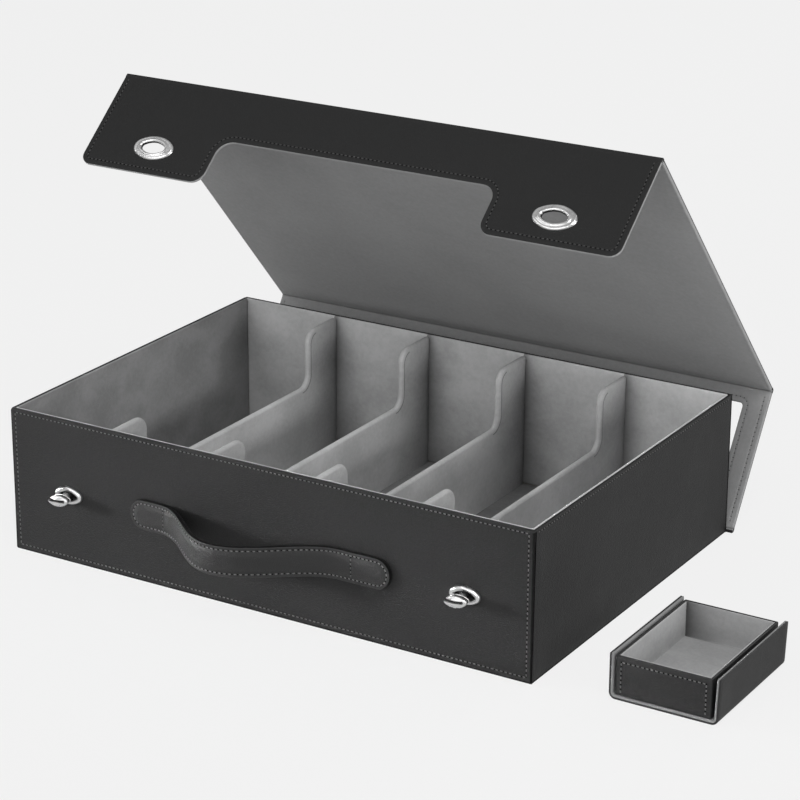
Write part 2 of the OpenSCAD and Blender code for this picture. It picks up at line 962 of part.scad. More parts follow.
base_leather();
front_leather();
back_leather();
left_leather();
right_leather();
bottom_board();
front_board();
back_board();
left_board();
right_board();
floor_lining();
front_lining();
back_lining();
left_lining();
right_lining();
divider_cover(1);  // divider_cover_1
divider_cover(2);  // divider_cover_2
divider_cover(3);  // divider_cover_3
divider_cover(4);  // divider_cover_4
divider_boards();
rear_crease();
spine_leather();
spine_board();
spine_lining();
top_crease();
top_leather();
top_board();
top_lining();
front_crease();
flap_leather();
flap_board();
flap_lining();
eyelet(-1);  // left_eyelet
eyelet(1);  // right_eyelet
eyelet_plate(-1);  // left_eyelet_plate
eyelet_plate(1);  // right_eyelet_plate
handle_outer();
handle_inner();
handle_core();
lock_base(-1);  // left_lock_base
lock_base(1);  // right_lock_base
lock_knob(-1);  // left_lock_knob
lock_knob(1);  // right_lock_knob
lock_plate(-1);  // left_lock_plate
lock_plate(1);  // right_lock_plate
lock_spring(-1);  // left_lock_spring
lock_spring(1);  // right_lock_spring
sleeve_leather();
sleeve_board();
sleeve_lining();
tray_leather();
tray_wall_board();
tray_bottom_board();
tray_lining();
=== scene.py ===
# Trading card storage box: leather skins, velvet linings, stitching, strap, turn-locks and eyelets
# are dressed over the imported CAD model. Shapes are worked out in millimetres, in the CAD's frame.
import math
from functools import partial
import bmesh
import bpy
import numpy as np
from mathutils import Matrix
from mathutils.geometry import tessellate_polygon


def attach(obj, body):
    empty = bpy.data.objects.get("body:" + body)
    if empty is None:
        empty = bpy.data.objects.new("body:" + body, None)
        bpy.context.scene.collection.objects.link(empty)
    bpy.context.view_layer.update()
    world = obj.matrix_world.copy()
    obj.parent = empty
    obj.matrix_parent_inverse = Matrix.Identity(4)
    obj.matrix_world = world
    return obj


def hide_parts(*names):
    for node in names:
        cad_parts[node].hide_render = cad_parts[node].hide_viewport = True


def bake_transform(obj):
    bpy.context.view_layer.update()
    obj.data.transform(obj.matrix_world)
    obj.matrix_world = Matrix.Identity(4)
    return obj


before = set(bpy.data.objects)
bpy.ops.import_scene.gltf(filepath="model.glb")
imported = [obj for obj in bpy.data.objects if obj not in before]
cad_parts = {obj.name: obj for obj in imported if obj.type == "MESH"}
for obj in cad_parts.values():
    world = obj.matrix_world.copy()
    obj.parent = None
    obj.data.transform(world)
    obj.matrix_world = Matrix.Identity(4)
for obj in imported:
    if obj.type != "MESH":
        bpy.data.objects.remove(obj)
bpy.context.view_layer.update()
print("frame loaded:", len(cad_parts), "nodes")

mm = 0.001

caseShape = {
    "halfWidth": 220.0, "halfDepth": 154.0, "height": 112.0,
    "skin": 1.0, "board": 2.2, "lining": 0.8, "rimRadius": 1.6, "edgeRadius": 0.5, "endRound": 1.5,
    "innerRound": 0.35, "footHeight": 1.5,
}
coverShape = {
    "halfWidth": 225.0, "halfThick": 1.6, "leather": 0.9, "lining": 0.8, "foldEnd": 1.9,
    "spineLength": 112.5, "topLength": 312.2, "flapLength": 82.0,
    "flapMiddle": 43.0, "cutHalf": 116.0, "cornerRadius": 8.5, "tabRadius": 10.0, "cutRadius": 12.0,
    "windowSide": 20.0, "windowHead": 12.0, "windowFoot": 18.0, "windowRadius": 3.5,
    "lean": 33.0, "topTurn": 75.0, "flapTurn": 88.5, "foldY": 156.1, "foldZ": 1.6,
}
thread = {
    "pitch": 3.5, "length": 2.1, "radius": 0.44, "inset": 4.2, "rimInset": 2.5, "depth": 0.32,
    "sink": 0.06, "hole": 0.85, "plug": 0.2, "trough": 0.55, "reach": 1.2, "tilt": 0.045, "uneven": 0.05,
    # shares of the half length and the radius along one stitch
    "span": (-1.0, -0.72, 0.0, 0.72, 1.0), "girth": (0.25, 0.9, 1.0, 0.9, 0.25),
    "dip": (-0.85, -0.15, 0.22, -0.15, -0.85),
}
wallT = caseShape["skin"] + caseShape["board"] + caseShape["lining"]


# mesh helpers

def linked(name, data):
    obj = bpy.data.objects.new(name, data)
    bpy.context.scene.collection.objects.link(obj)
    return obj


def buildMesh(name, points, faces, material, body, slot, replaced=(), sharp=38.0):
    # points are millimetres; faces is a list of index arrays, one row per face
    mesh = bpy.data.meshes.new(name)
    rows = [row for block in faces for row in np.asarray(block).tolist()]
    mesh.from_pydata((np.asarray(points) * mm).tolist(), [], rows)
    work = bmesh.new()
    work.from_mesh(mesh)
    bmesh.ops.remove_doubles(work, verts=work.verts, dist=2e-6)
    bmesh.ops.dissolve_degenerate(work, edges=work.edges, dist=1e-7)
    bmesh.ops.recalc_face_normals(work, faces=work.faces)
    work.to_mesh(mesh)
    work.free()
    mesh.polygons.foreach_set("use_smooth", np.ones(len(mesh.polygons), dtype=bool))
    mesh.set_sharp_from_angle(angle=math.radians(sharp))
    mesh.update()
    piece = linked(name, mesh)
    mesh.materials.append(material)
    if body:
        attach(piece, body)
    if replaced:
        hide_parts(*replaced)
    return piece


def gridFaces(rows, cols, first=0, wrapRows=False, wrapCols=False):
    # quads between neighbouring points of a rows x cols grid
    r = np.arange(rows if wrapRows else rows - 1)[:, None]
    c = np.arange(cols if wrapCols else cols - 1)[None, :]
    r2, c2 = (r + 1) % rows, (c + 1) % cols
    corners = (r * cols + c, r * cols + c2, r2 * cols + c2, r2 * cols + c)
    return first + np.stack(np.broadcast_arrays(*corners), -1).reshape(-1, 4)


def tubeMesh(name, grid, place, material, body, slot, replaced=(), sharp=50.0):
    # closed sections side by side, with the first and the last one filled
    rows, cols = grid.shape[:2]
    faces = [gridFaces(rows, cols, 0, wrapCols=True), np.arange(cols)[None, :],
             (rows - 1) * cols + np.arange(cols)[None, ::-1]]
    return buildMesh(name, place(grid.reshape(-1, 3)), faces, material, body, slot, replaced, sharp)


def slabMesh(name, grids, place, material, body, slot, replaced, sharp=50.0):
    # closed slab from grids of one size: the whole first and last one, and the rims of the others
    rows, cols = grids[0].shape[:2]
    rim = np.concatenate([np.arange(cols - 1), (cols - 1) + cols * np.arange(rows - 1),
                          (rows - 1) * cols + np.arange(cols - 1, 0, -1), cols * np.arange(rows - 1, 0, -1)])
    points, faces, count = [], [], 0
    for k, grid in enumerate(grids):
        part, ring = grid.reshape(-1, 3), rim
        if k in (0, len(grids) - 1):
            faces.append(gridFaces(rows, cols, count))
        else:
            part, ring = part[rim], np.arange(len(rim))
        ring = ring + count
        if k:
            faces.append(np.stack([before, np.roll(before, -1), np.roll(ring, -1), ring], 1))
        points.append(part)
        count += len(part)
        before = ring
    return buildMesh(name, place(np.concatenate(points)), faces, material, body, slot, replaced, sharp)


def asIs(points):
    return points


def smoothStep(x):
    x = np.clip(x, 0.0, 1.0)
    return x * x * (3.0 - 2.0 * x)


def fineLines(low, high, seams, coarse, reach=1.2, fine=0.3):
    # grid lines: even steps, and close ones within reach of each seam
    lines = [np.linspace(low, high, max(2, int(round((high - low) / coarse)) + 1))]
    for seam in seams:
        lines.append(np.arange(seam - reach, seam + reach + 1e-6, fine))
    values = np.concatenate(lines)
    values = np.unique(np.round(values[(values >= low) & (values <= high)], 3))
    keep = np.concatenate([[True], np.diff(values) > 0.12])
    keep[-1] = True
    return values[keep]


def cornerLoop(corners, inset, arcSteps=8, spacing=12.0):
    # outline with rounded corners, set in by a distance: each side moves along its inward normal,
    # outer corners lose that distance from their radius, and inner corners gain it
    corners = np.asarray(corners, float)
    xy, radius = corners[:, :2], corners[:, 2]
    count = len(xy)
    sides = np.roll(xy, -1, 0) - xy
    lengths = np.linalg.norm(sides, axis=1)
    ahead = sides / lengths[:, None]
    inward = np.stack([-ahead[:, 1], ahead[:, 0]], 1)
    before, normBefore = np.roll(ahead, 1, 0), np.roll(inward, 1, 0)
    turn = before[:, 0] * ahead[:, 1] - before[:, 1] * ahead[:, 0]
    mitre = (normBefore + inward) / (1.0 + (normBefore * inward).sum(1))[:, None]
    moved = xy + inset * mitre
    newRadius = np.where(turn > 0, np.maximum(radius - inset, 0.02), radius + inset)
    half = np.arctan2(np.abs(turn), (before * ahead).sum(1)) / 2
    reach = newRadius * np.tan(half)
    baseReach = np.maximum(radius, 0.02) * np.tan(half)
    points = []
    for i in range(count):
        sign = 1.0 if turn[i] > 0 else -1.0
        centre = moved[i] - before[i] * reach[i] + sign * normBefore[i] * newRadius[i]
        start = -sign * normBefore[i]
        angles = sign * np.linspace(0, 2 * half[i], arcSteps + 1)
        turned = np.stack([start[0] * np.cos(angles) - start[1] * np.sin(angles),
                           start[0] * np.sin(angles) + start[1] * np.cos(angles)], 1)
        points.append(centre + newRadius[i] * turned)
        j = (i + 1) % count
        free = lengths[i] - baseReach[i] - baseReach[j]
        steps = max(1, int(round(free / spacing)))
        a = moved[i] + ahead[i] * reach[i]
        b = moved[j] - ahead[i] * reach[j]
        t = np.linspace(0, 1, steps + 1)[1:-1, None]
        points.append(a + t * (b - a))
    return np.concatenate(points)


def ovalAt(a, b, angles, out=0.0):
    # four-arc oval by the angle of its normal, moved outwards: end arcs about (+-3m, 0) and side
    # arcs about (0, -+4m), where m is half the difference of the half sizes
    m = (a - b) / 2
    c, s = np.cos(angles), np.sin(angles)
    atEnd = np.abs(s) * 3 <= np.abs(c) * 4
    centre = np.where(atEnd[:, None], np.stack([3 * m * np.sign(c), 0 * c], 1),
                      np.stack([0 * c, -4 * m * np.sign(s)], 1))
    radius = np.where(atEnd, b - m, b + 4 * m) + out
    return centre + radius[:, None] * np.stack([c, s], 1)


def flatPanel(name, place, outlines, profile, flatSide, material, body, slot, replaced):
    # closed panel: every outline is followed at each (inset, height, plain height) of the profile,
    # and the first and last rings are filled. flatSide(x, z) is 1 where the edge stays plain
    points, faces, first, last, count = [], [], [], [], 0
    insets, heights, plain = (np.array(column)[:, None] for column in zip(*profile))
    for outline in outlines:
        rings = np.stack([outline(inset) for inset in insets[:, 0]])
        square = flatSide(*outline(0.0).T)[None, :]
        rises = heights * (1 - square) + plain * square
        rows, cols = rings.shape[:2]
        points.append(np.stack([rings[..., 0], rises, rings[..., 1]], -1).reshape(-1, 3))
        faces.append(gridFaces(rows, cols, count, wrapCols=True))
        first.append((rings[0], count))
        last.append((rings[-1], count + (rows - 1) * cols))
        count += rows * cols
    for caps in (first, last):
        flat = [[(p[0], p[1], 0.0) for p in ring.tolist()] for ring, _ in caps]
        index = np.concatenate([start + np.arange(len(ring)) for ring, start in caps])
        faces.append(index[np.array(tessellate_polygon(flat))])
    return buildMesh(name, place(np.concatenate(points)), faces, material, body, slot, replaced, sharp=50.0)


def gridPanel(name, place, xLines, zLines, front, edge, material, body, slot, replaced, sharp=50.0):
    # closed slab over a rectangle: a shaped front grid, a flat back, and an edge that rounds off
    # through the (inset, height) pairs between them
    margin = edge[-1][0] + 0.1
    grids = []
    for inset, height in edge:
        xs, zs = (np.concatenate([[lines[0] + inset],
                                  lines[(lines > lines[0] + margin) & (lines < lines[-1] - margin)],
                                  [lines[-1] - inset]]) for lines in (xLines, zLines))
        x, z = np.meshgrid(xs, zs)
        grids.append(np.stack([x, height + 0 * x, z], -1))
    grids[-1][..., 1] += front(x, z)
    return slabMesh(name, grids, place, material, body, slot, replaced, sharp)


def stitchLine(path, closed, pitch=thread["pitch"]):
    # even places along a path in a panel's plane: middle points and directions
    path = np.asarray(path, float)
    if closed:
        path = np.concatenate([path, path[:1]])
    steps = np.linalg.norm(np.diff(path, axis=0), axis=1)
    along = np.concatenate([[0], np.cumsum(steps)])
    count = max(1, int(round(along[-1] / pitch)))
    at = (np.arange(count) + 0.5) * along[-1] / count
    middle = np.stack([np.interp(at, along, path[:, i]) for i in range(path.shape[1])], 1)
    ahead = np.stack([np.interp(np.minimum(at + 0.6, along[-1]), along, path[:, i])
                      - np.interp(np.maximum(at - 0.6, 0), along, path[:, i])
                      for i in range(path.shape[1])], 1)
    return middle, ahead / np.linalg.norm(ahead, axis=1)[:, None]


def stitchMesh(name, middles, aheads, normals, body, seed, look=None, hole=None):
    # each stitch is a short six-sided thread: its radius falls to nothing at both ends, and its
    # ends dip into the leather beside a needle hole drawn as a dark six-sided plug, painted shade
    t = thread
    sides = np.arange(6) * math.pi / 3
    rng = np.random.default_rng(seed)
    n = len(middles)
    across = np.cross(aheads, normals)
    tilt = rng.normal(0, t["tilt"], n)[:, None]
    ahead = aheads * np.cos(tilt) + across * np.sin(tilt)
    across = np.cross(ahead, normals)
    size = (1 + rng.normal(0, t["uneven"], n))[:, None, None, None]
    span, girth, dip = (np.array(row)[None, :, None, None] for row in (t["span"], t["girth"], t["dip"]))
    line = (middles[:, None, None, :] + size * t["length"] / 2 * span * ahead[:, None, None, :]
            + t["radius"] * (dip + t["sink"]) * normals[:, None, None, :])
    ring = (np.cos(sides)[None, None, :, None] * across[:, None, None, :] * 1.15
            + np.sin(sides)[None, None, :, None] * normals[:, None, None, :])
    points = line + t["radius"] * girth * ring
    disc = t["hole"] * (0.7 * np.cos(sides)[None, :, None] * ahead[:, None, :]
                        + np.sin(sides)[None, :, None] * across[:, None, :])
    holes = (middles + t["pitch"] / 2 * aheads)[:, None, None, :] + disc[:, None] * [[[1.0]], [[0.8]]]
    holes = holes + np.array([-0.2, t["plug"]])[:, None, None] * normals[:, None, None, :]

    def tubes(rings, first):
        # the sides and the ends of every closed tube of six-sided rings
        start = (first + 6 * rings * np.arange(n))[:, None, None]
        caps = np.stack([np.arange(6)[::-1], 6 * (rings - 1) + np.arange(6)])
        return [(gridFaces(rings, 6, 0, wrapCols=True) + start).reshape(-1, 4), (caps + start).reshape(-1, 6)]

    threads, plugs = tubes(len(t["span"]), 0), tubes(2, 6 * len(t["span"]) * n)
    allPoints = np.concatenate([points.reshape(-1, 3), holes.reshape(-1, 3)])
    piece = buildMesh(name, allPoints, threads + plugs, look or caseThread, body, "case_leather")
    count = len(threads[0]) + len(threads[1])
    # the needle holes' plugs take the dark hole material: painted shade
    secondMaterial(piece, hole or needleHoleShade, np.arange(len(piece.data.polygons)) >= count)
    return piece


def sewOn(name, lines, place, level, body, seed, look=None, hole=None, side=1, step=0.05):
    # stitches along lines in a piece's own plane, carried with their directions by its place
    flat, ahead = (np.concatenate(part) for part in zip(*lines))
    local = np.stack([flat[:, 0], np.full(len(flat), level), flat[:, 1]], 1)
    middle = place(local)
    forward = place(local + step * np.stack([ahead[:, 0], 0 * ahead[:, 0], ahead[:, 1]], 1)) - middle
    normal = place(local + step * np.array([[0, side, 0]])) - middle
    forward /= np.linalg.norm(forward, axis=1)[:, None]
    normal /= np.linalg.norm(normal, axis=1)[:, None]
    return stitchMesh(name, middle, forward, normal, body, seed, look, hole)


def secondMaterial(piece, material, chosen):
    # the chosen faces take the second material
    piece.data.materials.append(material)
    piece.data.polygons.foreach_set("material_index", np.asarray(chosen).astype(np.int32))


def faceData(piece):
    # middles in millimetres and normals of a piece's faces
    faces = piece.data.polygons
    middles, normals = np.zeros(len(faces) * 3), np.zeros(len(faces) * 3)
    faces.foreach_get("center", middles)
    faces.foreach_get("normal", normals)
    return middles.reshape(-1, 3) / mm, normals.reshape(-1, 3)


def wave(a, b, size, amount, seed):
    # low even unevenness: a few crossed sine waves with seeded phases
    rng = np.random.default_rng(seed)
    total = 0 * a
    for k in range(5):
        angle, phase = rng.uniform(0, math.pi), rng.uniform(0, 2 * math.pi)
        length = size * rng.uniform(0.7, 1.5)
        total = total + np.sin((a * math.cos(angle) + b * math.sin(angle)) * 2 * math.pi / length + phase)
    return amount * total / 5


# finishes

def feed(tree, socket, value):
    # another node's socket is linked, and a plain value is set
    if hasattr(value, "is_linked"):
        tree.links.new(value, socket)
    else:
        socket.default_value = value


def addNode(tree, kind, **values):
    # a node with its properties and inputs; an underscore stands for a space in an input's name
    node = tree.nodes.new(kind)
    for key, value in values.items():
        if hasattr(node, key):
            setattr(node, key, value)
        else:
            feed(tree, node.inputs[key.replace("_", " ")], value)
    return node


def mathNode(tree, operation, a, b, clamp=False):
    node = addNode(tree, "ShaderNodeMath", operation=operation, use_clamp=clamp)
    feed(tree, node.inputs[0], a)
    feed(tree, node.inputs[1], b)
    return node.outputs[0]


def sums(tree):
    # adds, subtracts and multiplies sockets or numbers in one tree
    return [partial(mathNode, tree, kind) for kind in ("ADD", "SUBTRACT", "MULTIPLY")]


def mixColour(tree, factor, a, b):
    node = addNode(tree, "ShaderNodeMix", data_type="RGBA")
    for index, value in ((0, factor), (6, a), (7, b)):
        feed(tree, node.inputs[index], value)
    return node.outputs[2]


def rangeNode(tree, value, low, high, toLow, toHigh):
    node = addNode(tree, "ShaderNodeMapRange")
    for socket, number in zip(node.inputs, (value, low, high, toLow, toHigh)):
        feed(tree, socket, number)
    return node.outputs[0]


def objectPlace(tree):
    return addNode(tree, "ShaderNodeTexCoord").outputs["Object"]


def noise(tree, place, scale, detail=2.0, rough=0.5, **more):
    values = {"Vector": place, "Scale": scale, "Detail": detail, "Roughness": rough, **more}
    return addNode(tree, "ShaderNodeTexNoise", **values).outputs["Fac"]


def grey(value, tint=0.0):
    # a neutral given as its displayed level from 0 to 255, turned linear
    level = value / 255.0
    linear = level / 12.92 if level <= 0.04045 else ((level + 0.055) / 1.055) ** 2.4
    return (linear * (1 - tint), linear, linear * (1 + tint), 1.0)


def newGroup(title, inputs, outputs):
    # a node group whose numbers are floats and whose other sockets are colours
    group = bpy.data.node_groups.new(title, "ShaderNodeTree")
    for name, value in inputs.items():
        kind = "NodeSocketFloat" if isinstance(value, float) else "NodeSocketColor"
        group.interface.new_socket(name=name, in_out="INPUT", socket_type=kind).default_value = value
    for name in outputs:
        kind = "NodeSocketColor" if name == "Colour" else "NodeSocketFloat"
        group.interface.new_socket(name=name, in_out="OUTPUT", socket_type=kind)
    return group, group.nodes.new("NodeGroupInput").outputs, group.nodes.new("NodeGroupOutput").inputs


def grainGroup():
    # leather grain: rounded cells with fine pores between them, and broad tone changes
    group, given, result = newGroup("leatherGrain", {
        "Base Colour": grey(50), "Worn Colour": grey(70), "Grain Size": 900.0, "Roughness": 0.5,
    }, ("Colour", "Roughness", "Height"))
    add, _, times = sums(group)
    place = objectPlace(group)
    cells = addNode(group, "ShaderNodeTexVoronoi", feature="SMOOTH_F1", Smoothness=0.6, Vector=place,
                    Scale=given["Grain Size"]).outputs["Distance"]
    warp = noise(group, place, 420.0, 4.0, 0.6)
    fine = noise(group, place, times(given["Grain Size"], 2.3), 3.0)
    broad = noise(group, place, 9.0, 3.0, 0.55)
    cloud = noise(group, place, 46.0, 4.0)
    tone = add(rangeNode(group, broad, 0.35, 0.65, -0.5, 0.5), rangeNode(group, cloud, 0.3, 0.7, -0.35, 0.35))
    worn = add(times(tone, 0.16), rangeNode(group, cells, 0.1, 0.75, 0.14, -0.06), True)
    rough = add(given["Roughness"], times(tone, 0.07))
    rough = add(rough, rangeNode(group, fine, 0.3, 0.7, -0.05, 0.05), True)
    feed(group, result["Colour"], mixColour(group, worn, given["Base Colour"], given["Worn Colour"]))
    feed(group, result["Roughness"], rough)
    feed(group, result["Height"], add(add(times(cells, -0.75), times(fine, 0.28)), times(warp, 0.35)))
    return group


def napGroup():
    # velvet nap: brushed patches light and dark, over a fine fibre speckle
    group, given, result = newGroup("velvetNap", {
        "Lit Colour": grey(136), "Shade Colour": grey(112), "Patch Size": 26.0, "Patch Strength": 0.8,
    }, ("Colour", "Roughness", "Height"))
    add, minus, times = sums(group)
    place = objectPlace(group)
    stretch = addNode(group, "ShaderNodeMapping", Vector=place, Scale=(0.8, 0.8, 1.15)).outputs[0]
    warp = rangeNode(group, noise(group, place, 14.0), 0.3, 0.7, 0.0, 0.5)
    patch = noise(group, stretch, given["Patch Size"], 4.0, 0.55, Distortion=warp)
    brushed = rangeNode(group, patch, 0.36, 0.64, 0.0, 1.0)
    fibre, mid = noise(group, place, 2600.0), noise(group, place, 310.0, 4.0, 0.65)
    speck = add(rangeNode(group, fibre, 0.3, 0.7, -0.2, 0.2), rangeNode(group, mid, 0.3, 0.7, -0.26, 0.26))
    factor = add(times(minus(brushed, 0.5), given["Patch Strength"]), 0.5)
    factor = add(factor, speck, True)
    feed(group, result["Colour"], mixColour(group, factor, given["Shade Colour"], given["Lit Colour"]))
    feed(group, result["Roughness"], rangeNode(group, factor, 0.0, 1.0, 0.98, 0.84))
    feed(group, result["Height"], add(times(fibre, 0.5), times(mid, 0.5)))
    return group


def wearGroup():
    # edge wear: convex edges found from the surface's own curvature, broken up by noise
    group, given, result = newGroup("edgeWear", {"Amount": 0.5, "Break Up": 300.0}, ("Mask",))
    _, _, times = sums(group)
    curve = addNode(group, "ShaderNodeNewGeometry").outputs["Pointiness"]
    rub = noise(group, objectPlace(group), given["Break Up"], 4.0)
    broken = times(rangeNode(group, curve, 0.505, 0.56, 0.0, 1.0), rangeNode(group, rub, 0.35, 0.6, 0.3, 1.0))
    feed(group, result["Mask"], times(broken, given["Amount"], True))
    return group


groups = {"grain": grainGroup(), "nap": napGroup(), "wear": wearGroup()}


def useGroup(tree, key, **values):
    return addNode(tree, "ShaderNodeGroup", node_tree=groups[key], **values).outputs


def startMaterial(name):
    material = bpy.data.materials.new(name)
    material.use_nodes = True
    tree = material.node_tree
    return material, tree, tree.nodes["Principled BSDF"]


def coat(tree, shader, height, strength, distance, **values):
    # the shader's inputs, and a bump made from a height
    for key, value in values.items():
        feed(tree, shader.inputs[key.replace("_", " ")], value)
    bump = addNode(tree, "ShaderNodeBump", Height=height, Strength=strength, Distance=distance)
    feed(tree, shader.inputs["Normal"], bump.outputs["Normal"])


def leatherMaterial(name, look):
    material, tree, shader = startMaterial(name)
    grain = useGroup(tree, "grain", Base_Colour=grey(look["level"], 0.01), Worn_Colour=grey(look["worn"], 0.01),
                     Grain_Size=look["grain"], Roughness=look["roughness"])
    wear = useGroup(tree, "wear", Amount=look["wear"], Break_Up=260.0)["Mask"]
    coat(tree, shader, grain["Height"], look["bump"], 0.0004, Roughness=grain["Roughness"],
         Base_Color=mixColour(tree, wear, grain["Colour"], grey(look["worn"] + 24, 0.01)),
         Specular_IOR_Level=look["specular"])
    return material


def paintedNookShade(tree, nookShade):
    # mask of painted shade in the nooks: on the back wall it halves away from each row's left
    # side, 0.5 ^ (distance / width), wider towards the floor, and on the dividers' ends away from
    # the back; the dividers' front tabs take an even share of painted shade
    add, minus, times = sums(tree)
    n = {key: value * mm for key, value in nookShade.items()}
    x, y, z = addNode(tree, "ShaderNodeSeparateXYZ", Vector=objectPlace(tree)).outputs
    fromLeft, fromBack = minus(x, n["left"]), minus(n["back"], y)
    inRow = mathNode(tree, "FLOORED_MODULO", add(fromLeft, n["seen"]), n["pitch"])
    inRow = mathNode(tree, "MAXIMUM", minus(inRow, n["seen"]), 0.0)
    width = rangeNode(tree, z, 0.0, n["top"], n["wide"], n["narrow"])
    beside = mathNode(tree, "POWER", 0.5, mathNode(tree, "DIVIDE", inRow, width))
    notFirst = mathNode(tree, "GREATER_THAN", fromLeft, n["pitch"] * nookShade["first"] - 0.001)
    onBack = mathNode(tree, "LESS_THAN", fromBack, 0.0012)
    onEnd = mathNode(tree, "POWER", 0.5, mathNode(tree, "DIVIDE", fromBack, n["tab"]))
    onEnd = times(onEnd, rangeNode(tree, z, n["low"], n["high"], 1.0, 0.8))
    onTab = rangeNode(tree, z, n["tabFoot"], n["tabFull"], 0.0, nookShade["front"])
    onTab = times(onTab, mathNode(tree, "LESS_THAN", y, 0.0))
    onEnd = times(add(onEnd, onTab), minus(1.0, onBack))
    return times(add(onEnd, times(times(beside, onBack), notFirst), True), nookShade["strength"])


def velvetMaterial(name, look, nookShade=None):
    material, tree, shader = startMaterial(name)
    nap = useGroup(tree, "nap", Lit_Colour=grey(look["lit"], 0.004), Shade_Colour=grey(look["shade"], 0.004),
                   Patch_Size=look["patch"], Patch_Strength=look["strength"])
    colour = nap["Colour"]
    # painted shade in the nooks: the nap's colour is darkened towards near black by the mask
    if nookShade:
        colour = mixColour(tree, paintedNookShade(tree, nookShade), colour, grey(20))
    coat(tree, shader, nap["Height"], 0.5, 0.0003, Base_Color=colour, Roughness=nap["Roughness"],
         Specular_IOR_Level=0.12, Sheen_Weight=look["sheen"], Sheen_Roughness=0.4, Sheen_Tint=grey(225))
    return material


def metalMaterial(name, level, roughness):
    material, tree, shader = startMaterial(name)
    place = objectPlace(tree)
    smear, hair = noise(tree, place, 130.0, 4.0), noise(tree, place, 1500.0)
    tone = rangeNode(tree, smear, 0.35, 0.65, 0.0, 1.0)
    coat(tree, shader, hair, 0.04, 0.0001, Base_Color=mixColour(tree, tone, grey(level - 14), grey(level)),
         Roughness=rangeNode(tree, smear, 0.3, 0.7, roughness * 0.7, roughness * 1.4), Metallic=1.0)
    return material


def threadLook(name, level):
    material, tree, shader = startMaterial(name)
    place = objectPlace(tree)
    twist, broad = noise(tree, place, 1800.0), noise(tree, place, 60.0)
    factor = mathNode(tree, "ADD", rangeNode(tree, twist, 0.3, 0.7, 0.0, 0.6),
                      rangeNode(tree, broad, 0.3, 0.7, 0.0, 0.4), True)
    coat(tree, shader, twist, 0.5, 0.0002, Roughness=0.55, Sheen_Weight=0.15,
         Base_Color=mixColour(tree, factor, grey(level - 14), grey(level + 12)))
    return material


def boardMaterial(name):
    material, tree, shader = startMaterial(name)
    pulp = noise(tree, objectPlace(tree), 700.0, 4.0)
    coat(tree, shader, pulp, 0.3, 0.0003, Roughness=0.9,
         Base_Color=mixColour(tree, pulp, (0.20, 0.16, 0.11, 1), (0.33, 0.27, 0.19, 1)))
    return material


def lookTable(keys, rows):
    return {name: dict(zip(keys, row)) for name, row in rows.items()}


leatherLooks = lookTable(("level", "worn", "grain", "roughness", "specular", "bump", "wear"), {
    "caseLeather": (24, 48, 1150.0, 0.64, 0.24, 0.8, 0.35),
    "coverLeather": (23, 40, 1150.0, 0.66, 0.22, 0.5, 0.08),
    "strapLeather": (24, 50, 1250.0, 0.58, 0.35, 0.8, 0.4),
    "trayLeather": (18, 34, 1150.0, 0.62, 0.3, 0.5, 0.35),
    # near-black needle holes: painted shade
    "needleHoleShade": (5, 9, 900.0, 0.85, 0.05, 0.2, 0.0),
    # edge paint, dark also as painted shade along the rims, corners, foot and the strap's sides
    "edgePaintAndShade": (8, 16, 700.0, 0.7, 0.1, 0.25, 0.15),
})
velvetLooks = lookTable(("lit", "shade", "patch", "strength", "sheen"), {
    "velvet": (182, 160, 20.0, 0.9, 0.08),
    # a darker copy of the velvet for the left wall: painted shade
    "shadedWallVelvet": (138, 121, 30.0, 0.9, 0.05),
    # a darker copy of the velvet for the rows' floor: painted shade
    "floorVelvet": (128, 110, 24.0, 0.9, 0.05),
    "coverVelvet": (144, 131, 9.0, 0.6, 0.06),
    "sleeveVelvet": (124, 110, 30.0, 0.8, 0.05),
    # dark velvet for the lining's needle holes: painted shade
    "liningHoleShade": (84, 70, 30.0, 0.5, 0.0),
    "dividerSeam": (134, 118, 30.0, 0.5, 0.0),
    # a lighter copy of the velvet for the dividers: painted light
    "dividerVelvet": (194, 173, 20.0, 0.9, 0.08),
    # a darker copy of the velvet for the tray: painted shade
    "trayVelvet": (156, 141, 30.0, 0.8, 0.08),
})
threadLevels = {"thread": 74, "strapThread": 84, "coverThread": 34, "darkThread": 46, "liningThread": 118}

caseLeather, coverLeather, strapLeather, trayLeather, needleHoleShade, edgePaintAndShade = [
    leatherMaterial(name + "Look", look) for name, look in leatherLooks.items()]
velvet, shadedWallVelvet, shadedFloorNap, coverVelvet, sleeveNap, liningHoleShade, seamNap = [
    velvetMaterial(name + "Look", velvetLooks[name]) for name in (
        "velvet", "shadedWallVelvet", "floorVelvet", "coverVelvet", "sleeveVelvet", "liningHoleShade", "dividerSeam")]
caseThread, strapThread, coverThread, darkThread, liningThread = [
    threadLook(name + "Look", level) for name, level in threadLevels.items()]
metal = metalMaterial("polishedMetalLook", 208, 0.31)
spring = metalMaterial("springSteelLook", 168, 0.32)
# darkened metal for recesses: painted shade
recessShadeMetal = metalMaterial("recessShadeMetalLook", 62, 0.4)
board = boardMaterial("boardLook")
print("materials made")


# case

hw, hd, caseH = caseShape["halfWidth"], caseShape["halfDepth"], caseShape["height"]


def wallPlace(side):
    # from (along the wall, out of its outer face, up) to the model's frame
    along, out, reach = {"front": ((1, 0), (0, -1), hd), "back": ((-1, 0), (0, 1), hd),
                         "right": ((0, 1), (1, 0), hw), "left": ((0, -1), (-1, 0), hw)}[side]

    def place(p):
        flat = p[:, :1] * np.array([along]) + (reach + p[:, 1:2]) * np.array([out])
        return np.concatenate([flat, p[:, 2:]], 1)

    return place


def seamDepth(x, z, lines):
    # shallow trough of Gaussian section along each straight seam: ("x" or "z", place, from, to)
    total = 0 * x
    for axis, at, low, high in lines:
        across, along = (x, z) if axis == "x" else (z, x)
        reach = thread["reach"]
        within = smoothStep((along - low) / reach + 0.5) * smoothStep((high - along) / reach + 0.5)
        total = np.maximum(total, within * np.exp(-((across - at) / thread["trough"]) ** 2))
    return -thread["depth"] * total


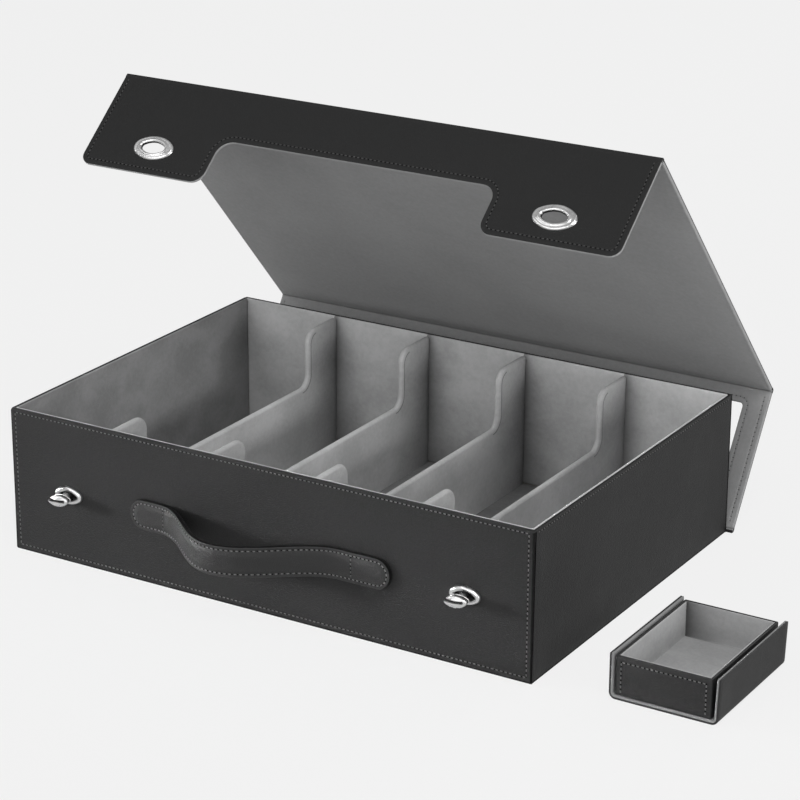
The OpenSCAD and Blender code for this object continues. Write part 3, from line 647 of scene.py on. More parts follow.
def skinWall(name, side, half, replaced, seams, rimDepth, rimRadius, seed):
    # section carried along the wall: up the outer face, over the rim, and back down inside.
    # Outer points sink along seams, and round off towards both ends
    skin, endRound, inner, low = (caseShape[key] for key in ("skin", "endRound", "innerRound", "footHeight"))
    zs = fineLines(0.0, caseH - rimRadius, [s[1] for s in seams if s[0] == "z"], 7.0)
    zs = np.concatenate([[low], zs[zs > low]])
    face = np.stack([0 * zs, zs], 1)
    turn = np.linspace(0, math.pi / 2, 9)[1:]
    rim = np.stack([-rimRadius + rimRadius * np.cos(turn), caseH - rimRadius + rimRadius * np.sin(turn)], 1)
    fall = np.linspace(0, math.pi / 2, 5)
    top = np.stack([-rimDepth + inner - inner * np.sin(fall), caseH - inner + inner * np.cos(fall)], 1)
    tail = np.array([[-rimDepth, caseH - skin], [-skin, caseH - skin], [-skin, 0.0]])
    foot = np.array([[-0.85, 0.0], [-0.75, 0.35], [-0.45, 0.75], [-0.15, 1.1]])
    section = np.concatenate([face, rim, top, tail, foot])
    outer = np.concatenate([np.ones(len(face)), np.cos(turn), np.zeros(len(section) - len(face) - len(turn))])
    upward = np.concatenate([np.zeros(len(face)), np.sin(turn), np.ones(len(top)),
                             np.zeros(len(tail) + len(foot))])
    ends = np.array([0, 0.08, 0.2, 0.4, 0.65, 1.0]) * endRound
    xs = fineLines(-half, half, [s[1] for s in seams if s[0] == "x"], 9.0)
    xs = xs[np.abs(xs) < half - endRound - 0.1]
    xs = np.concatenate([-half + ends, xs, (half - ends)[::-1]])
    along, off = np.meshgrid(xs, section[:, 0], indexing="ij")
    up = np.broadcast_to(section[:, 1], along.shape)
    fromEnd = half - np.abs(along)
    near = np.clip(1 - fromEnd / endRound, 0, 1)
    drop = endRound * (1 - np.sqrt(np.maximum(0, 1 - near ** 2)))
    sunk = seamDepth(along, up, seams) + wave(along, up, 150.0, 0.07, seed) * smoothStep(fromEnd / 15)
    grid = np.stack([along, off + (sunk - drop * 0.98) * outer, up - 0.6 * drop * upward], -1)
    piece = tubeMesh(name, grid, wallPlace(side), caseLeather, "case", "case_leather", (replaced,))
    middles, normals = faceData(piece)
    # the rim's top takes the dark edge paint, partly painted shade along the rim
    secondMaterial(piece, edgePaintAndShade, (middles[:, 2] > caseH - 2.0) & (normals[:, 2] > 0.6))
    return piece


# how far the leather turns over each rim; the velvet's lip fills the rest
rimCover = {"front": 3.1, "back": 2.0, "side": 2.2}
inset = thread["inset"]
rimSeam = caseH - thread["rimInset"]
frontSeams = [("z", inset, -hw + inset, hw - inset), ("z", rimSeam, -hw + inset, hw - inset),
              ("x", -hw + inset, inset, rimSeam), ("x", hw - inset, inset, rimSeam)]
sideHalf = hd - caseShape["skin"]
sideSeams = [("z", rimSeam, -sideHalf + inset, sideHalf - inset)]
backSeams = [("z", rimSeam, -hw + inset, hw - inset),
             ("x", -hw + inset, 0.0, rimSeam), ("x", hw - inset, 0.0, rimSeam)]
for seed, (side, half, seams, cover, radius) in enumerate((
        ("front", hw, frontSeams, rimCover["front"], caseShape["rimRadius"]),
        ("back", hw, backSeams, rimCover["back"], caseShape["edgeRadius"]),
        ("right", sideHalf, sideSeams, rimCover["side"], caseShape["edgeRadius"]),
        ("left", sideHalf, sideSeams, rimCover["side"], caseShape["edgeRadius"])), 11):
    skinWall(side + "Skin", side, half, side + "_leather", seams, cover, radius, seed)


def paintAndShadeBead(name, path, radius, away):
    # bead of edge paint, partly painted shade at the corners and along the foot: a ten-sided half
    # sunk rod carried along a straight line
    start, end = np.array(path, float)
    ahead = (end - start) / np.linalg.norm(end - start)
    first = np.array(away, float)
    second = np.cross(ahead, first)
    a = np.arange(10) * math.pi / 5
    ring = radius * (np.cos(a)[:, None] * first + np.sin(a)[:, None] * second)
    t = np.linspace(0, 1, 25)[:, None, None]
    grid = start * (1 - t) + end * t + ring[None]
    return tubeMesh(name, grid, asIs, edgePaintAndShade, "case", "case_leather", sharp=60.0)


# dark beads at the case's corners and round its foot: edge paint, and painted shade where the case meets the
# floor
bead = {"radius": 1.15, "in": 1.1, "foot": 0.85, "low": 0.9, "top": 1.4, "footOut": 0.12, "sideEnd": 1.2,
        "frontEnd": 1.0}
low, out = bead["foot"], bead["footOut"] - bead["foot"]
for label, x in (("Left", -1), ("Right", 1)):
    for end, y in (("Front", -1), ("Back", 1)):
        at = (x * (hw - bead["in"]), y * (hd - bead["in"]))
        paintAndShadeBead("corner" + label + end, [at + (bead["low"],), at + (caseH - bead["top"],)],
                    bead["radius"], (1, 0, 0))
    at, reach = x * (hw + out), hd - bead["sideEnd"]
    paintAndShadeBead("foot" + label, [(at, -reach, low), (at, reach, low)], low, (0, 0, 1))
for label, y in (("Front", -1), ("Back", 1)):
    at, reach = y * (hd + out), hw - bead["frontEnd"]
    paintAndShadeBead("foot" + label, [(-reach, at, low), (reach, at, low)], low, (0, 0, 1))


def wallStitches(side, seams, seed, look=None):
    lines = []
    for axis, at, low, high in seams:
        ends = [[low, at], [high, at]] if axis == "z" else [[at, max(low, 1.0)], [at, high]]
        lines.append(stitchLine(ends, False))
    return sewOn(side + "Stitches", lines, wallPlace(side), -thread["depth"], "case", seed, look)


wallStitches("front", frontSeams, 21)
wallStitches("back", backSeams, 22)
wallStitches("right", sideSeams, 23, darkThread)
wallStitches("left", sideSeams, 24, darkThread)
print("case skins sewn")


def liningWall(side, half, cover, seed, look):
    # velvet on the inner face, turned over the board's edge in a soft round up to the leather
    lip = {"rise": 1.45, "proud": 0.12, "gap": 0.03, "tuckDown": 1.45}
    boardIn = caseShape["skin"] + caseShape["board"]
    low, high = -wallT, -cover - lip["gap"]
    middle, width = (low + high) / 2, (high - low) / 2
    rise = min(lip["rise"], width + 0.1)
    base = caseH + lip["proud"] - rise
    bow = np.linspace(math.pi, 0, 13)
    top = np.stack([middle + width * np.sign(np.cos(bow)) * np.abs(np.cos(bow)) ** 0.7,
                    base + rise * np.abs(np.sin(bow)) ** 0.8], 1)
    deep = min(high, -caseShape["skin"] - 0.02)
    tail = np.array([[deep, caseH - lip["tuckDown"]], [-boardIn, caseH - lip["tuckDown"]], [-boardIn, wallT]])
    zs = np.concatenate([wallT + np.array([0.0, 0.4, 0.8, 1.3, 2.0]), np.linspace(wallT, caseH - 2.0, 15)[1:]])
    zs = zs[zs < base - 0.2]
    section = np.concatenate([np.stack([0 * zs - wallT, zs], 1), top, tail])
    ends = np.array([0.0, 0.35, 0.7, 1.1, 1.6, 2.4])
    xs = np.concatenate([-half + ends, np.linspace(-half, half, 41)[1:-1], (half - ends)[::-1]])
    along, off = np.meshgrid(xs, section[:, 0], indexing="ij")
    up = np.broadcast_to(section[:, 1], along.shape)
    row, fromEnd = np.arange(len(section)), half - np.abs(along)
    off = off + (row < len(zs) + 8) * wave(along, up, 70.0, 0.12, seed) * smoothStep(fromEnd / 8)
    # the face draws back towards the corners and the floor, where the velvet is tucked in
    corner = np.exp(-(fromEnd / 0.7) ** 2) + np.exp(-((up - wallT) / 0.8) ** 2)
    off = off + 0.7 * np.minimum(corner, 1) * (off < -wallT + 0.3) * (row < len(zs))
    grid = np.stack([along, off, up], -1)
    return tubeMesh(side + "Velvet", grid, wallPlace(side), look, "case", "velvet", (side + "_lining",))


divider = {"thick": 5.0, "count": 4, "top": 110.8, "low": 65.5, "tab": 42.0, "topRadius": 12.0,
           "footRadius": 9.0, "seam": 3.4, "seamDeep": 0.3, "seamWide": 0.5}
rowWidth = 2 * hw - 2 * wallT
rowPitch = (rowWidth - divider["count"] * divider["thick"]) / (divider["count"] + 1) + divider["thick"]
# where shade is painted into the velvet: the back wall beside each divider, the dividers' rear ends and front
# tabs, and the tray's back wall beside its left wall
nookShades = {
    "rows": {"left": -rowWidth / 2, "pitch": rowPitch, "first": 0.5, "seen": 2.5, "back": hd - wallT,
             "wide": 16.0, "narrow": 4.0, "top": 112.0, "strength": 0.6, "tab": 26.0, "low": 80.0,
             "high": 112.0, "front": 0.45, "tabFoot": 60.0, "tabFull": 75.0},
    "tray": {"left": 280.2, "pitch": 200.0, "first": 0.0, "seen": 0.5, "back": -41.0, "wide": 15.0,
             "narrow": 9.0, "top": 32.0, "strength": 0.8, "tab": 0.5, "low": 0.0, "high": 40.0, "front": 0.0,
             "tabFoot": 60.0, "tabFull": 75.0},
}
# velvets with painted nook shade; the dividers' velvet is also a lighter copy (painted light) and the tray's a
# darker copy (painted shade)
rowVelvet = velvetMaterial("rowVelvetLook", velvetLooks["velvet"], nookShades["rows"])
dividerVelvet = velvetMaterial("dividerVelvetLook", velvetLooks["dividerVelvet"], nookShades["rows"])
trayVelvet = velvetMaterial("trayVelvetLook", velvetLooks["trayVelvet"], nookShades["tray"])
tuck = 0.65  # each lining reaches behind its neighbours in the corners
liningWall("front", hw - wallT + tuck, rimCover["front"], 31, velvet)
liningWall("back", hw - wallT + tuck, rimCover["back"], 32, rowVelvet)
liningWall("right", hd - wallT + tuck, rimCover["side"], 33, velvet)
# the left wall takes the darker velvet copy: painted shade
liningWall("left", hd - wallT + tuck, rimCover["side"], 34, shadedWallVelvet)

floorX, floorY = hw - 3.2, hd - 3.2
# the floor takes the darker velvet copy: painted shade
gridPanel("floorVelvet", lambda p: p[:, [0, 2, 1]], np.linspace(-floorX, floorX, 60),
          np.linspace(-floorY, floorY, 40), lambda x, z: -0.06 + wave(x, z, 60.0, 0.05, 35),
          [(0.0, 3.2), (0.0, 3.8), (0.2, 4.0)], shadedFloorNap, "case", "velvet", ("floor_lining",), sharp=38.0)


def dividerLine():
    # upper edge from the front to the back: points and outward normals along flats and arcs
    d, reach = divider, hd - wallT
    steps = []

    def flat(y0, z0, y1, z1, count):
        t = np.linspace(0, 1, count)[:, None]
        p = np.array([[y0, z0]]) * (1 - t) + np.array([[y1, z1]]) * t
        ahead = np.array([y1 - y0, z1 - z0]) / math.hypot(y1 - y0, z1 - z0)
        steps.append(np.concatenate([p, np.repeat([[-ahead[1], ahead[0]]], count, 0)], 1))

    def bend(y, z, radius, start, end, outward):
        a = np.radians(np.linspace(start, end, 11))
        n = np.stack([np.cos(a), np.sin(a)], 1)
        steps.append(np.concatenate([np.array([[y, z]]) + radius * n, outward * n], 1))

    left = -reach + d["tab"]
    flat(-reach, d["top"], 0.9 - reach, d["top"], 4)
    flat(0.9 - reach, d["top"], left - d["topRadius"], d["top"], 8)
    bend(left - d["topRadius"], d["top"] - d["topRadius"], d["topRadius"], 90, 0, 1)
    flat(left, d["top"] - d["topRadius"], left, d["low"] + d["footRadius"], 5)
    bend(left + d["footRadius"], d["low"] + d["footRadius"], d["footRadius"], 180, 270, -1)
    flat(left + d["footRadius"], d["low"], 0, d["low"], 18)
    half = np.concatenate(steps)
    keep = np.concatenate([[True], np.linalg.norm(np.diff(half[:, :2], axis=0), axis=1) > 1e-4])
    half = half[keep]
    other = half[::-1][1:] * np.array([[-1, 1, -1, 1]])
    return np.concatenate([half, other])


def dividerX(index):
    return -rowWidth / 2 + index * rowPitch - divider["thick"] / 2


def dividerCover(index):
    # velvet over a board: up one face, round over the edge in a half circle, down the other face
    line = dividerLine()
    edge, normal = line[:, :2], line[:, 2:]
    r = divider["thick"] / 2
    centre = edge - r * normal
    foot = np.stack([centre[:, 0], np.full(len(edge), wallT)], 1)
    rises = (0.0, 0.25, 0.5, 0.75, 0.92)
    rows = [(foot * (1 - t) + centre * t, -r) for t in rises]
    rows += [(centre + r * math.sin(a) * normal, r * math.cos(a)) for a in np.radians(np.linspace(180, 0, 13))]
    rows += [(foot * (1 - t) + centre * t, r) for t in rises[::-1]]
    yz = np.stack([row[0] for row in rows])
    xs = np.array([row[1] for row in rows])[:, None] + 0 * yz[..., 0]
    # the faces swell a little unevenly, and draw in at the walls and at the floor
    swell = wave(yz[..., 0] + 40 * index, yz[..., 1], 55.0, 0.12, 40 + index) - 0.02
    xs = xs + np.sign(xs) * np.where(np.abs(xs) > r - 0.01, swell, 0)
    fromWall = hd - wallT - np.abs(yz[..., 0])
    xs = xs * (1 - 0.3 * np.exp(-(fromWall / 0.8) ** 2) - 0.12 * np.exp(-((yz[..., 1] - wallT) / 1.2) ** 2))
    y = np.clip(yz[..., 0], -hd + wallT, hd - wallT)
    grid = np.stack([dividerX(index) + xs, y, yz[..., 1]], -1)
    n, m = xs.shape
    ends = np.arange(n) * m
    faces = [gridFaces(n, m), ends[None, :], (ends + m - 1)[None, ::-1],
             np.concatenate([np.arange(m), (n - 1) * m + np.arange(m)[::-1]])[None, :]]
    return buildMesh("dividerVelvet%d" % index, grid.reshape(-1, 3), faces, dividerVelvet, "case", "velvet",
                     ("divider_cover_%d" % index,), sharp=50.0)


def dividerSeam(index):
    # the seam that closes the velvet round the rear end: a flat thread that follows the steep edge
    # at a set distance, on both faces. Its section is (deep cos a, wide sin a) across the face and
    # along it
    d, line = divider, dividerLine()
    steep = hd - wallT - d["tab"]
    part = line[(line[:, 0] > steep - d["footRadius"] - 1.5) & (line[:, 0] < steep + d["topRadius"])]
    middle, normal = part[:, :2] - d["seam"] * part[:, 2:], part[:, 2:]
    n = len(middle)
    a = (np.arange(6) * math.pi / 3)[None, :]
    yz = middle[:, None, :] + d["seamWide"] * np.sin(a)[..., None] * normal[:, None, :]
    grids, faces = [], []
    for side in (-1, 1):
        x = dividerX(index) + side * (d["thick"] / 2 - 0.02) + d["seamDeep"] * np.cos(a) + 0 * yz[..., 0]
        count = len(grids) * n * 6
        grids.append(np.concatenate([x[..., None], yz], -1).reshape(-1, 3))
        caps = np.stack([np.arange(6)[::-1], (n - 1) * 6 + np.arange(6)]) + count
        faces += [gridFaces(n, 6, count, wrapCols=True), caps]
    return buildMesh("dividerSeam%d" % index, np.concatenate(grids), faces, seamNap, "case", "velvet")


for index in range(1, divider["count"] + 1):
    dividerCover(index)
    dividerSeam(index)
print("case lined")


# cover

def panelFrames():
    # each panel's origin on its fold, its direction away from the fold, and its outward direction
    c = coverShape
    frames, origin, angle = {}, np.array([0.0, c["foldY"], c["foldZ"]]), -c["lean"]
    for key, length, turn in (("spine", c["spineLength"], c["topTurn"]),
                              ("top", c["topLength"], c["flapTurn"]), ("flap", 0.0, 0.0)):
        a = math.radians(angle)
        along = np.array([0.0, -math.sin(a), math.cos(a)])
        out = np.array([0.0, math.cos(a), math.sin(a)])
        frames[key] = (origin, along, out)
        origin, angle = origin + length * along, angle + turn
    return frames


frames = panelFrames()


def panelPlace(key):
    origin, along, out = frames[key]
    across = np.array([1.0, 0, 0])
    return lambda p: origin + p[:, :1] * across + p[:, 1:2] * out + p[:, 2:3] * along


halfT, foldEnd, halfW = coverShape["halfThick"], coverShape["foldEnd"], coverShape["halfWidth"]
leatherY = halfT - coverShape["leather"]
liningY = coverShape["lining"] - halfT


def panelCorners(key):
    c = coverShape
    if key == "flap":
        cut, mid, end = c["cutHalf"], c["flapMiddle"], c["flapLength"]
        right = [(halfW, foldEnd, 0.3), (halfW, end, c["cornerRadius"]), (cut, end, c["tabRadius"]),
                 (cut, mid, c["cutRadius"])]
        left = [(-x, z, r) for x, z, r in right[::-1]]
        return np.array(right + left)
    end = c[key + "Length"] - foldEnd
    r = 0.6
    return np.array([(halfW, foldEnd, r), (halfW, end, r), (-halfW, end, r), (-halfW, foldEnd, r)])


def windowCorners():
    c = coverShape
    x = halfW - c["windowSide"]
    low, high = foldEnd + c["windowFoot"], c["spineLength"] - foldEnd - c["windowHead"]
    r = c["windowRadius"]
    return np.array([(x, low, r), (-x, low, r), (-x, high, r), (x, high, r)])


eyeShape = {
    "x": 168.0, "along": 60.1, "nest": 0.44, "nestRoof": -0.5, "dome": 1.4, "holeLength": 10.0,
    "holeHeight": 5.15, "rimLength": 17.2, "rimHeight": 10.5, "wallLength": 13.9, "wallHeight": 8.7,
    "plateGrow": 3.2,
}


def eyeHole(side, a, b):
    # hole outline in a panel's plane, wound against the outline, and grown a little by each inset
    angles = np.linspace(0, -2 * math.pi, 49)[:-1]
    return lambda d: ovalAt(a, b, angles, 0.3 * d) + np.array([[side * eyeShape["x"], eyeShape["along"]]])


def outlinesOf(key, plate=False):
    result = [partial(cornerLoop, panelCorners(key))]
    if key == "spine":
        result.append(partial(cornerLoop, windowCorners()))
    if key == "flap":
        grow = eyeShape["plateGrow"] if plate else 0.0
        for side in (-1, 1):
            result.append(eyeHole(side, eyeShape["wallLength"] + grow, eyeShape["wallHeight"] + grow))
    return result


def atFold(key):
    # 1 along the edges that meet a fold strip, and under the eyelets
    ends = [foldEnd] if key == "flap" else [foldEnd, coverShape[key + "Length"] - foldEnd]

    def flatSide(x, z):
        square = np.max([np.exp(-((z - e) / 0.3) ** 2) for e in ends], axis=0)
        nearEye = (np.abs(np.abs(x) - eyeShape["x"]) < 20) & (np.abs(z - eyeShape["along"]) < 14)
        return np.maximum(square, nearEye) if key == "flap" else square

    return flatSide


def seamProfile(level):
    # trough for a seam at the thread's inset
    at, deep = thread["inset"], thread["depth"]
    return [(at + step, level - deep * math.exp(-(step / thread["trough"]) ** 2))
            for step in (-1.2, -0.8, -0.5, -0.25, 0.0, 0.25, 0.5, 0.8, 1.2)]


def roundTo(radius, low, high, steps=5):
    # quarter round from the side at height low up to the face at height high
    rise = high - low
    return [(radius * (1 - math.cos(a)), low + rise * math.sin(a), high)
            for a in np.linspace(0, math.pi / 2, steps)]


def coverPanel(key, body):
    # leather skin: hidden face, rounded edge, a seam trough along the free edges, and a flat middle
    rows = [(0.25, leatherY, leatherY), (0.0, leatherY + 0.12, leatherY)]
    rows += roundTo(0.55, leatherY + 0.3, halfT) + [row + (halfT,) for row in seamProfile(halfT)]
    rows.append((5.7, halfT, halfT))
    flatPanel(key + "Skin", panelPlace(key), outlinesOf(key), rows, atFold(key), coverLeather, body,
              "cover_leather", (key + "_leather",))


def coverLining(key, body, sewn):
    # velvet lining: hidden face on the board, the lip round the board's edge, and a rounded inner face
    low, at = -halfT, thread["inset"]
    rows = [(1.2, liningY), (1.2, leatherY), (0.3, leatherY), (0.05, leatherY - 0.15), (0.0, leatherY - 0.5)]
    rows = [row + (liningY if row[1] == liningY else leatherY,) for row in rows]
    if sewn:
        face = [(at + step, thread["depth"] * math.exp(-(step / 0.6) ** 2))
                for step in (-1.2, -0.8, -0.4, 0.0, 0.4, 0.8, 1.2)]
    else:
        face = [(2.1, 0.02), (2.6, 0.12), (3.2, 0.12), (4.2, 0.02)]
    lip = [(0.0, 0.75), (0.12, 0.4), (0.35, 0.15), (0.7, 0.03), (1.2, 0.0)]
    rows += [(inset, low + rise, low) for inset, rise in lip + face + [(5.7, 0.0)]]
    flatPanel(key + "Velvet", panelPlace(key), outlinesOf(key, plate=True), rows, atFold(key), coverVelvet,
              body, "velvet", (key + "_lining",))


def seamPaths(key):
    # seams follow the free edges from fold to fold, and the window
    at = thread["inset"]
    if key == "flap":
        loop = cornerLoop(panelCorners(key), at)
        free = loop[loop[:, 1] > foldEnd + at + 0.5]
        side = np.array([[halfW - at, foldEnd + 1.0]])
        return [(np.concatenate([side, free, side * [[-1, 1]]]), False)]
    end = coverShape[key + "Length"] - foldEnd - 1.0
    paths = [(np.array([[x, foldEnd + 1.0], [x, end]]), False) for x in (halfW - at, at - halfW)]
    if key == "spine":
        paths.append((cornerLoop(windowCorners(), at), True))
    return paths


def seamStitches(name, key, body, side, seed):
    # side is 1 on the leather and -1 on the lining
    lines = [stitchLine(path, closed) for path, closed in seamPaths(key)]
    look, hole = (coverThread, None) if side > 0 else (liningThread, liningHoleShade)
    return sewOn(name, lines, panelPlace(key), side * (halfT - thread["depth"]), body, seed, look, hole, side)


for seed, (key, body, sewn) in enumerate((("spine", "rear_panel", True), ("top", "top_panel", False),
                                          ("flap", "front_flap", True))):
    coverPanel(key, body)
    coverLining(key, body, sewn)
    seamStitches(key + "Stitches", key, body, 1, 50 + seed)
    if sewn:
        seamStitches(key + "InnerStitches", key, body, -1, 60 + seed)
print("cover panels made")


def foldStrips(name, key, parent, beforeReach, crease):
    # leather round the outside of a fold and velvet in its gutter. Both follow one path in the
    # fold's section: along the panel before, round the axis, and along the panel after
    axis, q, n2 = frames[key]
    p, n1 = np.array([0, -1.0, 0]), np.array([0, 0, -1.0])  # the case's underside
    if parent:
        p, n1 = -frames[parent][1], frames[parent][2]
    turn = math.acos(np.clip(np.dot(n1, n2), -1, 1))
    arc = [(math.sin((1 - t) * turn) * n1 + math.sin(t * turn) * n2) / math.sin(turn)
           for t in np.linspace(0, 1, 15)]
    start, end = axis + beforeReach * p, axis + foldEnd * q
    inward = -(n1 + n2) / np.linalg.norm(n1 + n2)

    def around(radius):
        shares = (0.33, 0.66, 1.0)
        lead = [axis + beforeReach * f * p + radius * n1 for f in shares[::-1]]
        tail = [axis + foldEnd * f * q + radius * n2 for f in shares]
        return np.array(lead + [axis + radius * d for d in arc] + tail)

    def gutter(level, dip):
        # falls from the panel's face towards the axis, and rises again, as a cosine
        t = np.linspace(0, 1, 13)[:, None]
        a, b = start - level * n1, end - level * n2
        fall = 0.5 - 0.5 * np.cos(2 * math.pi * t)
        return a * (1 - t) + b * t + fall * (axis + dip * inward - (a + b) / 2)

    filled = halfT - coverShape["lining"] - 0.02
    outer = np.concatenate([around(halfT), gutter(filled, 0.0)[::-1]])
    inner = np.concatenate([gutter(halfT, 0.55), gutter(filled, 0.02)[::-1]])
    xs = np.linspace(-halfW, halfW, 31)
    for suffix, section, material, slot, nodes in (("Leather", outer, coverLeather, "cover_leather", (crease,)),
                                                   ("Velvet", inner, coverVelvet, "velvet", ())):
        grid = np.repeat(section[None], len(xs), 0)
        grid[..., 0] = xs[:, None]
        piece = tubeMesh(name + suffix, grid, asIs, material, None, slot, nodes, sharp=60.0)
        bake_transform(piece)


foldStrips("rearFold", "spine", None, 2.1, "rear_crease")
foldStrips("topFold", "top", "spine", foldEnd, "top_crease")
foldStrips("frontFold", "flap", "top", foldEnd, "front_crease")
print("folds made")


# eyelets and turn-locks

def sweepOval(a, b, section, place, count=96):
    # closed section (distance outside the oval, height) carried round a four-arc oval, or round an
    # axis where both half sizes are nothing
    angles = np.linspace(0, 2 * math.pi, count + 1)[:-1]
    rings = np.stack([ovalAt(a, b, angles, d) for d, _ in section])
    heights = np.array([h for _, h in section])[:, None] + 0 * rings[..., 0]
    grid = np.concatenate([rings, heights[..., None]], -1)
    return place(grid.reshape(-1, 3)), gridFaces(len(section), count, 0, wrapRows=True, wrapCols=True)


def eyelet(label, side):
    # rings run from the hole's oval (0) to the outer oval (1); an inner lip, a shallow valley and an
    # outer rim give the face, the throat is short, and the wide nest behind it takes the lock's base
    e = eyeShape
    origin, along, out = frames["flap"]
    centre = origin + np.array([side * e["x"], 0, 0]) + e["along"] * along
    angles = np.linspace(0, 2 * math.pi, 97)[:-1]
    hole, rim = (ovalAt(e[key + "Length"], e[key + "Height"], angles) for key in ("hole", "rim"))
    back, nest, roof = -2 * halfT - 0.1, e["nest"], e["nestRoof"]
    throat = [(nest + 0.03, back), (nest, back + 0.2), (nest, (back + roof) / 2), (nest, roof - 0.2),
              (nest - 0.03, roof), (0.03, roof), (0.0, roof + 0.15)]
    face = [(0.0, 0.55), (0.03, 0.95), (0.09, 1.3), (0.17, 1.52), (0.26, 1.58), (0.35, 1.5), (0.43, 1.34),
            (0.5, 1.2), (0.57, 1.13), (0.65, 1.14), (0.73, 1.16), (0.81, 1.1), (0.88, 0.93), (0.94, 0.66),
            (0.98, 0.34), (1.0, 0.02), (0.98, -0.04), (0.5, -0.04), (0.5, back)]
    share, rises = np.array(throat + face).T[..., None]
    rings = hole * (1 - share[..., None]) + rim * share[..., None]
    heights = np.where(rises > 0.3, rises * e["dome"], rises) + 0 * rings[..., 0] + halfT
    points = (centre + rings[..., :1] * np.array([1.0, 0, 0]) + rings[..., 1:] * along
              + heights[..., None] * out)
    faces = gridFaces(len(share), len(angles), 0, wrapRows=True, wrapCols=True)
    piece = buildMesh(label + "Eyelet", points.reshape(-1, 3), [faces], metal, "front_flap", "polished_metal",
                      (label + "_eyelet",), sharp=40.0)
    # the barrel's inner wall is in shade: its faces look towards the hole's middle, below the lip
    middles, normals = faceData(piece)
    rise, facing = (middles - centre) @ out, np.abs(normals @ out)
    towards = ((middles - centre) * normals).sum(1) < 0
    secondMaterial(piece, recessShadeMetal, (rise < halfT + 1.55) & (facing < 0.85) & towards)


lockShape = {
    "x": 168.0, "z": 54.0, "halfLength": 12.0, "halfHeight": 6.8, "rimHeight": 2.7, "rimWidth": 3.8,
    "floor": 0.9, "collar": 3.65, "barrelHeight": 3.9, "neck": 3.0, "knobUnder": 9.6, "knobThick": 5.2,
    "knobHalfLength": 9.0, "knobHalfWidth": 4.5, "edge": 1.5, "crown": 0.7, "groove": 1.9,
    "grooveDepth": 1.5, "grooveEnd": 2.2, "tilt": 8.0, "wallIn": 3.0,
}


def lockPlace(side):
    # x across, y up and z out of the case's front
    return lambda p: np.stack([side * lockShape["x"] + p[:, 0], -hd - p[:, 2], lockShape["z"] + p[:, 1]], 1)


def lockBase(label, side):
    # a thick rounded rim is carried round the oval; inside it lie the dish and the turned collar, dark as
    # painted shade
    s, place = lockShape, lockPlace(side)
    w, h, floor, barrel = s["rimWidth"], s["rimHeight"], s["floor"] - 0.4, s["barrelHeight"]
    rim = [(-w / 2 + w / 2 * math.cos(a), 0.7 + (h - 0.7) * math.sin(a)) for a in np.linspace(0, math.pi, 17)]
    rim += [(-w, 0.3), (-w + 0.3, 0.0), (-0.2, 0.0), (0.05, 0.1), (0.06, 0.4)]
    points, faces = sweepOval(s["halfLength"], s["halfHeight"], rim, place)
    dish = [(0.0, 0.5), (0.0, 0.05), (-2.6, 0.05), (-2.6, floor), (-1.8, floor), (-0.8, floor)]
    low, lowFaces = sweepOval(s["halfLength"] - w + 0.3, s["halfHeight"] - w + 0.3, dish, place)
    outer, inner = s["collar"], s["neck"] + 0.08
    deep = -s["wallIn"]
    collar = [(inner, deep), (inner, barrel - 0.35), (inner + 0.15, barrel - 0.1), (inner + 0.45, barrel),
              (outer - 0.45, barrel), (outer - 0.12, barrel - 0.15), (outer, barrel - 0.5), (outer, deep)]
    more, moreFaces = sweepOval(0.0, 0.0, collar, place, 64)
    piece = buildMesh(label + "LockBase", np.concatenate([points, low, more]),
                      [faces, lowFaces + len(points), moreFaces + len(points) + len(low)], metal, "case",
                      "polished_metal", (label + "_lock_base",), sharp=40.0)
    # the dish and the collar take the dark metal: painted shade
    secondMaterial(piece, recessShadeMetal, np.arange(len(piece.data.polygons)) >= len(faces))


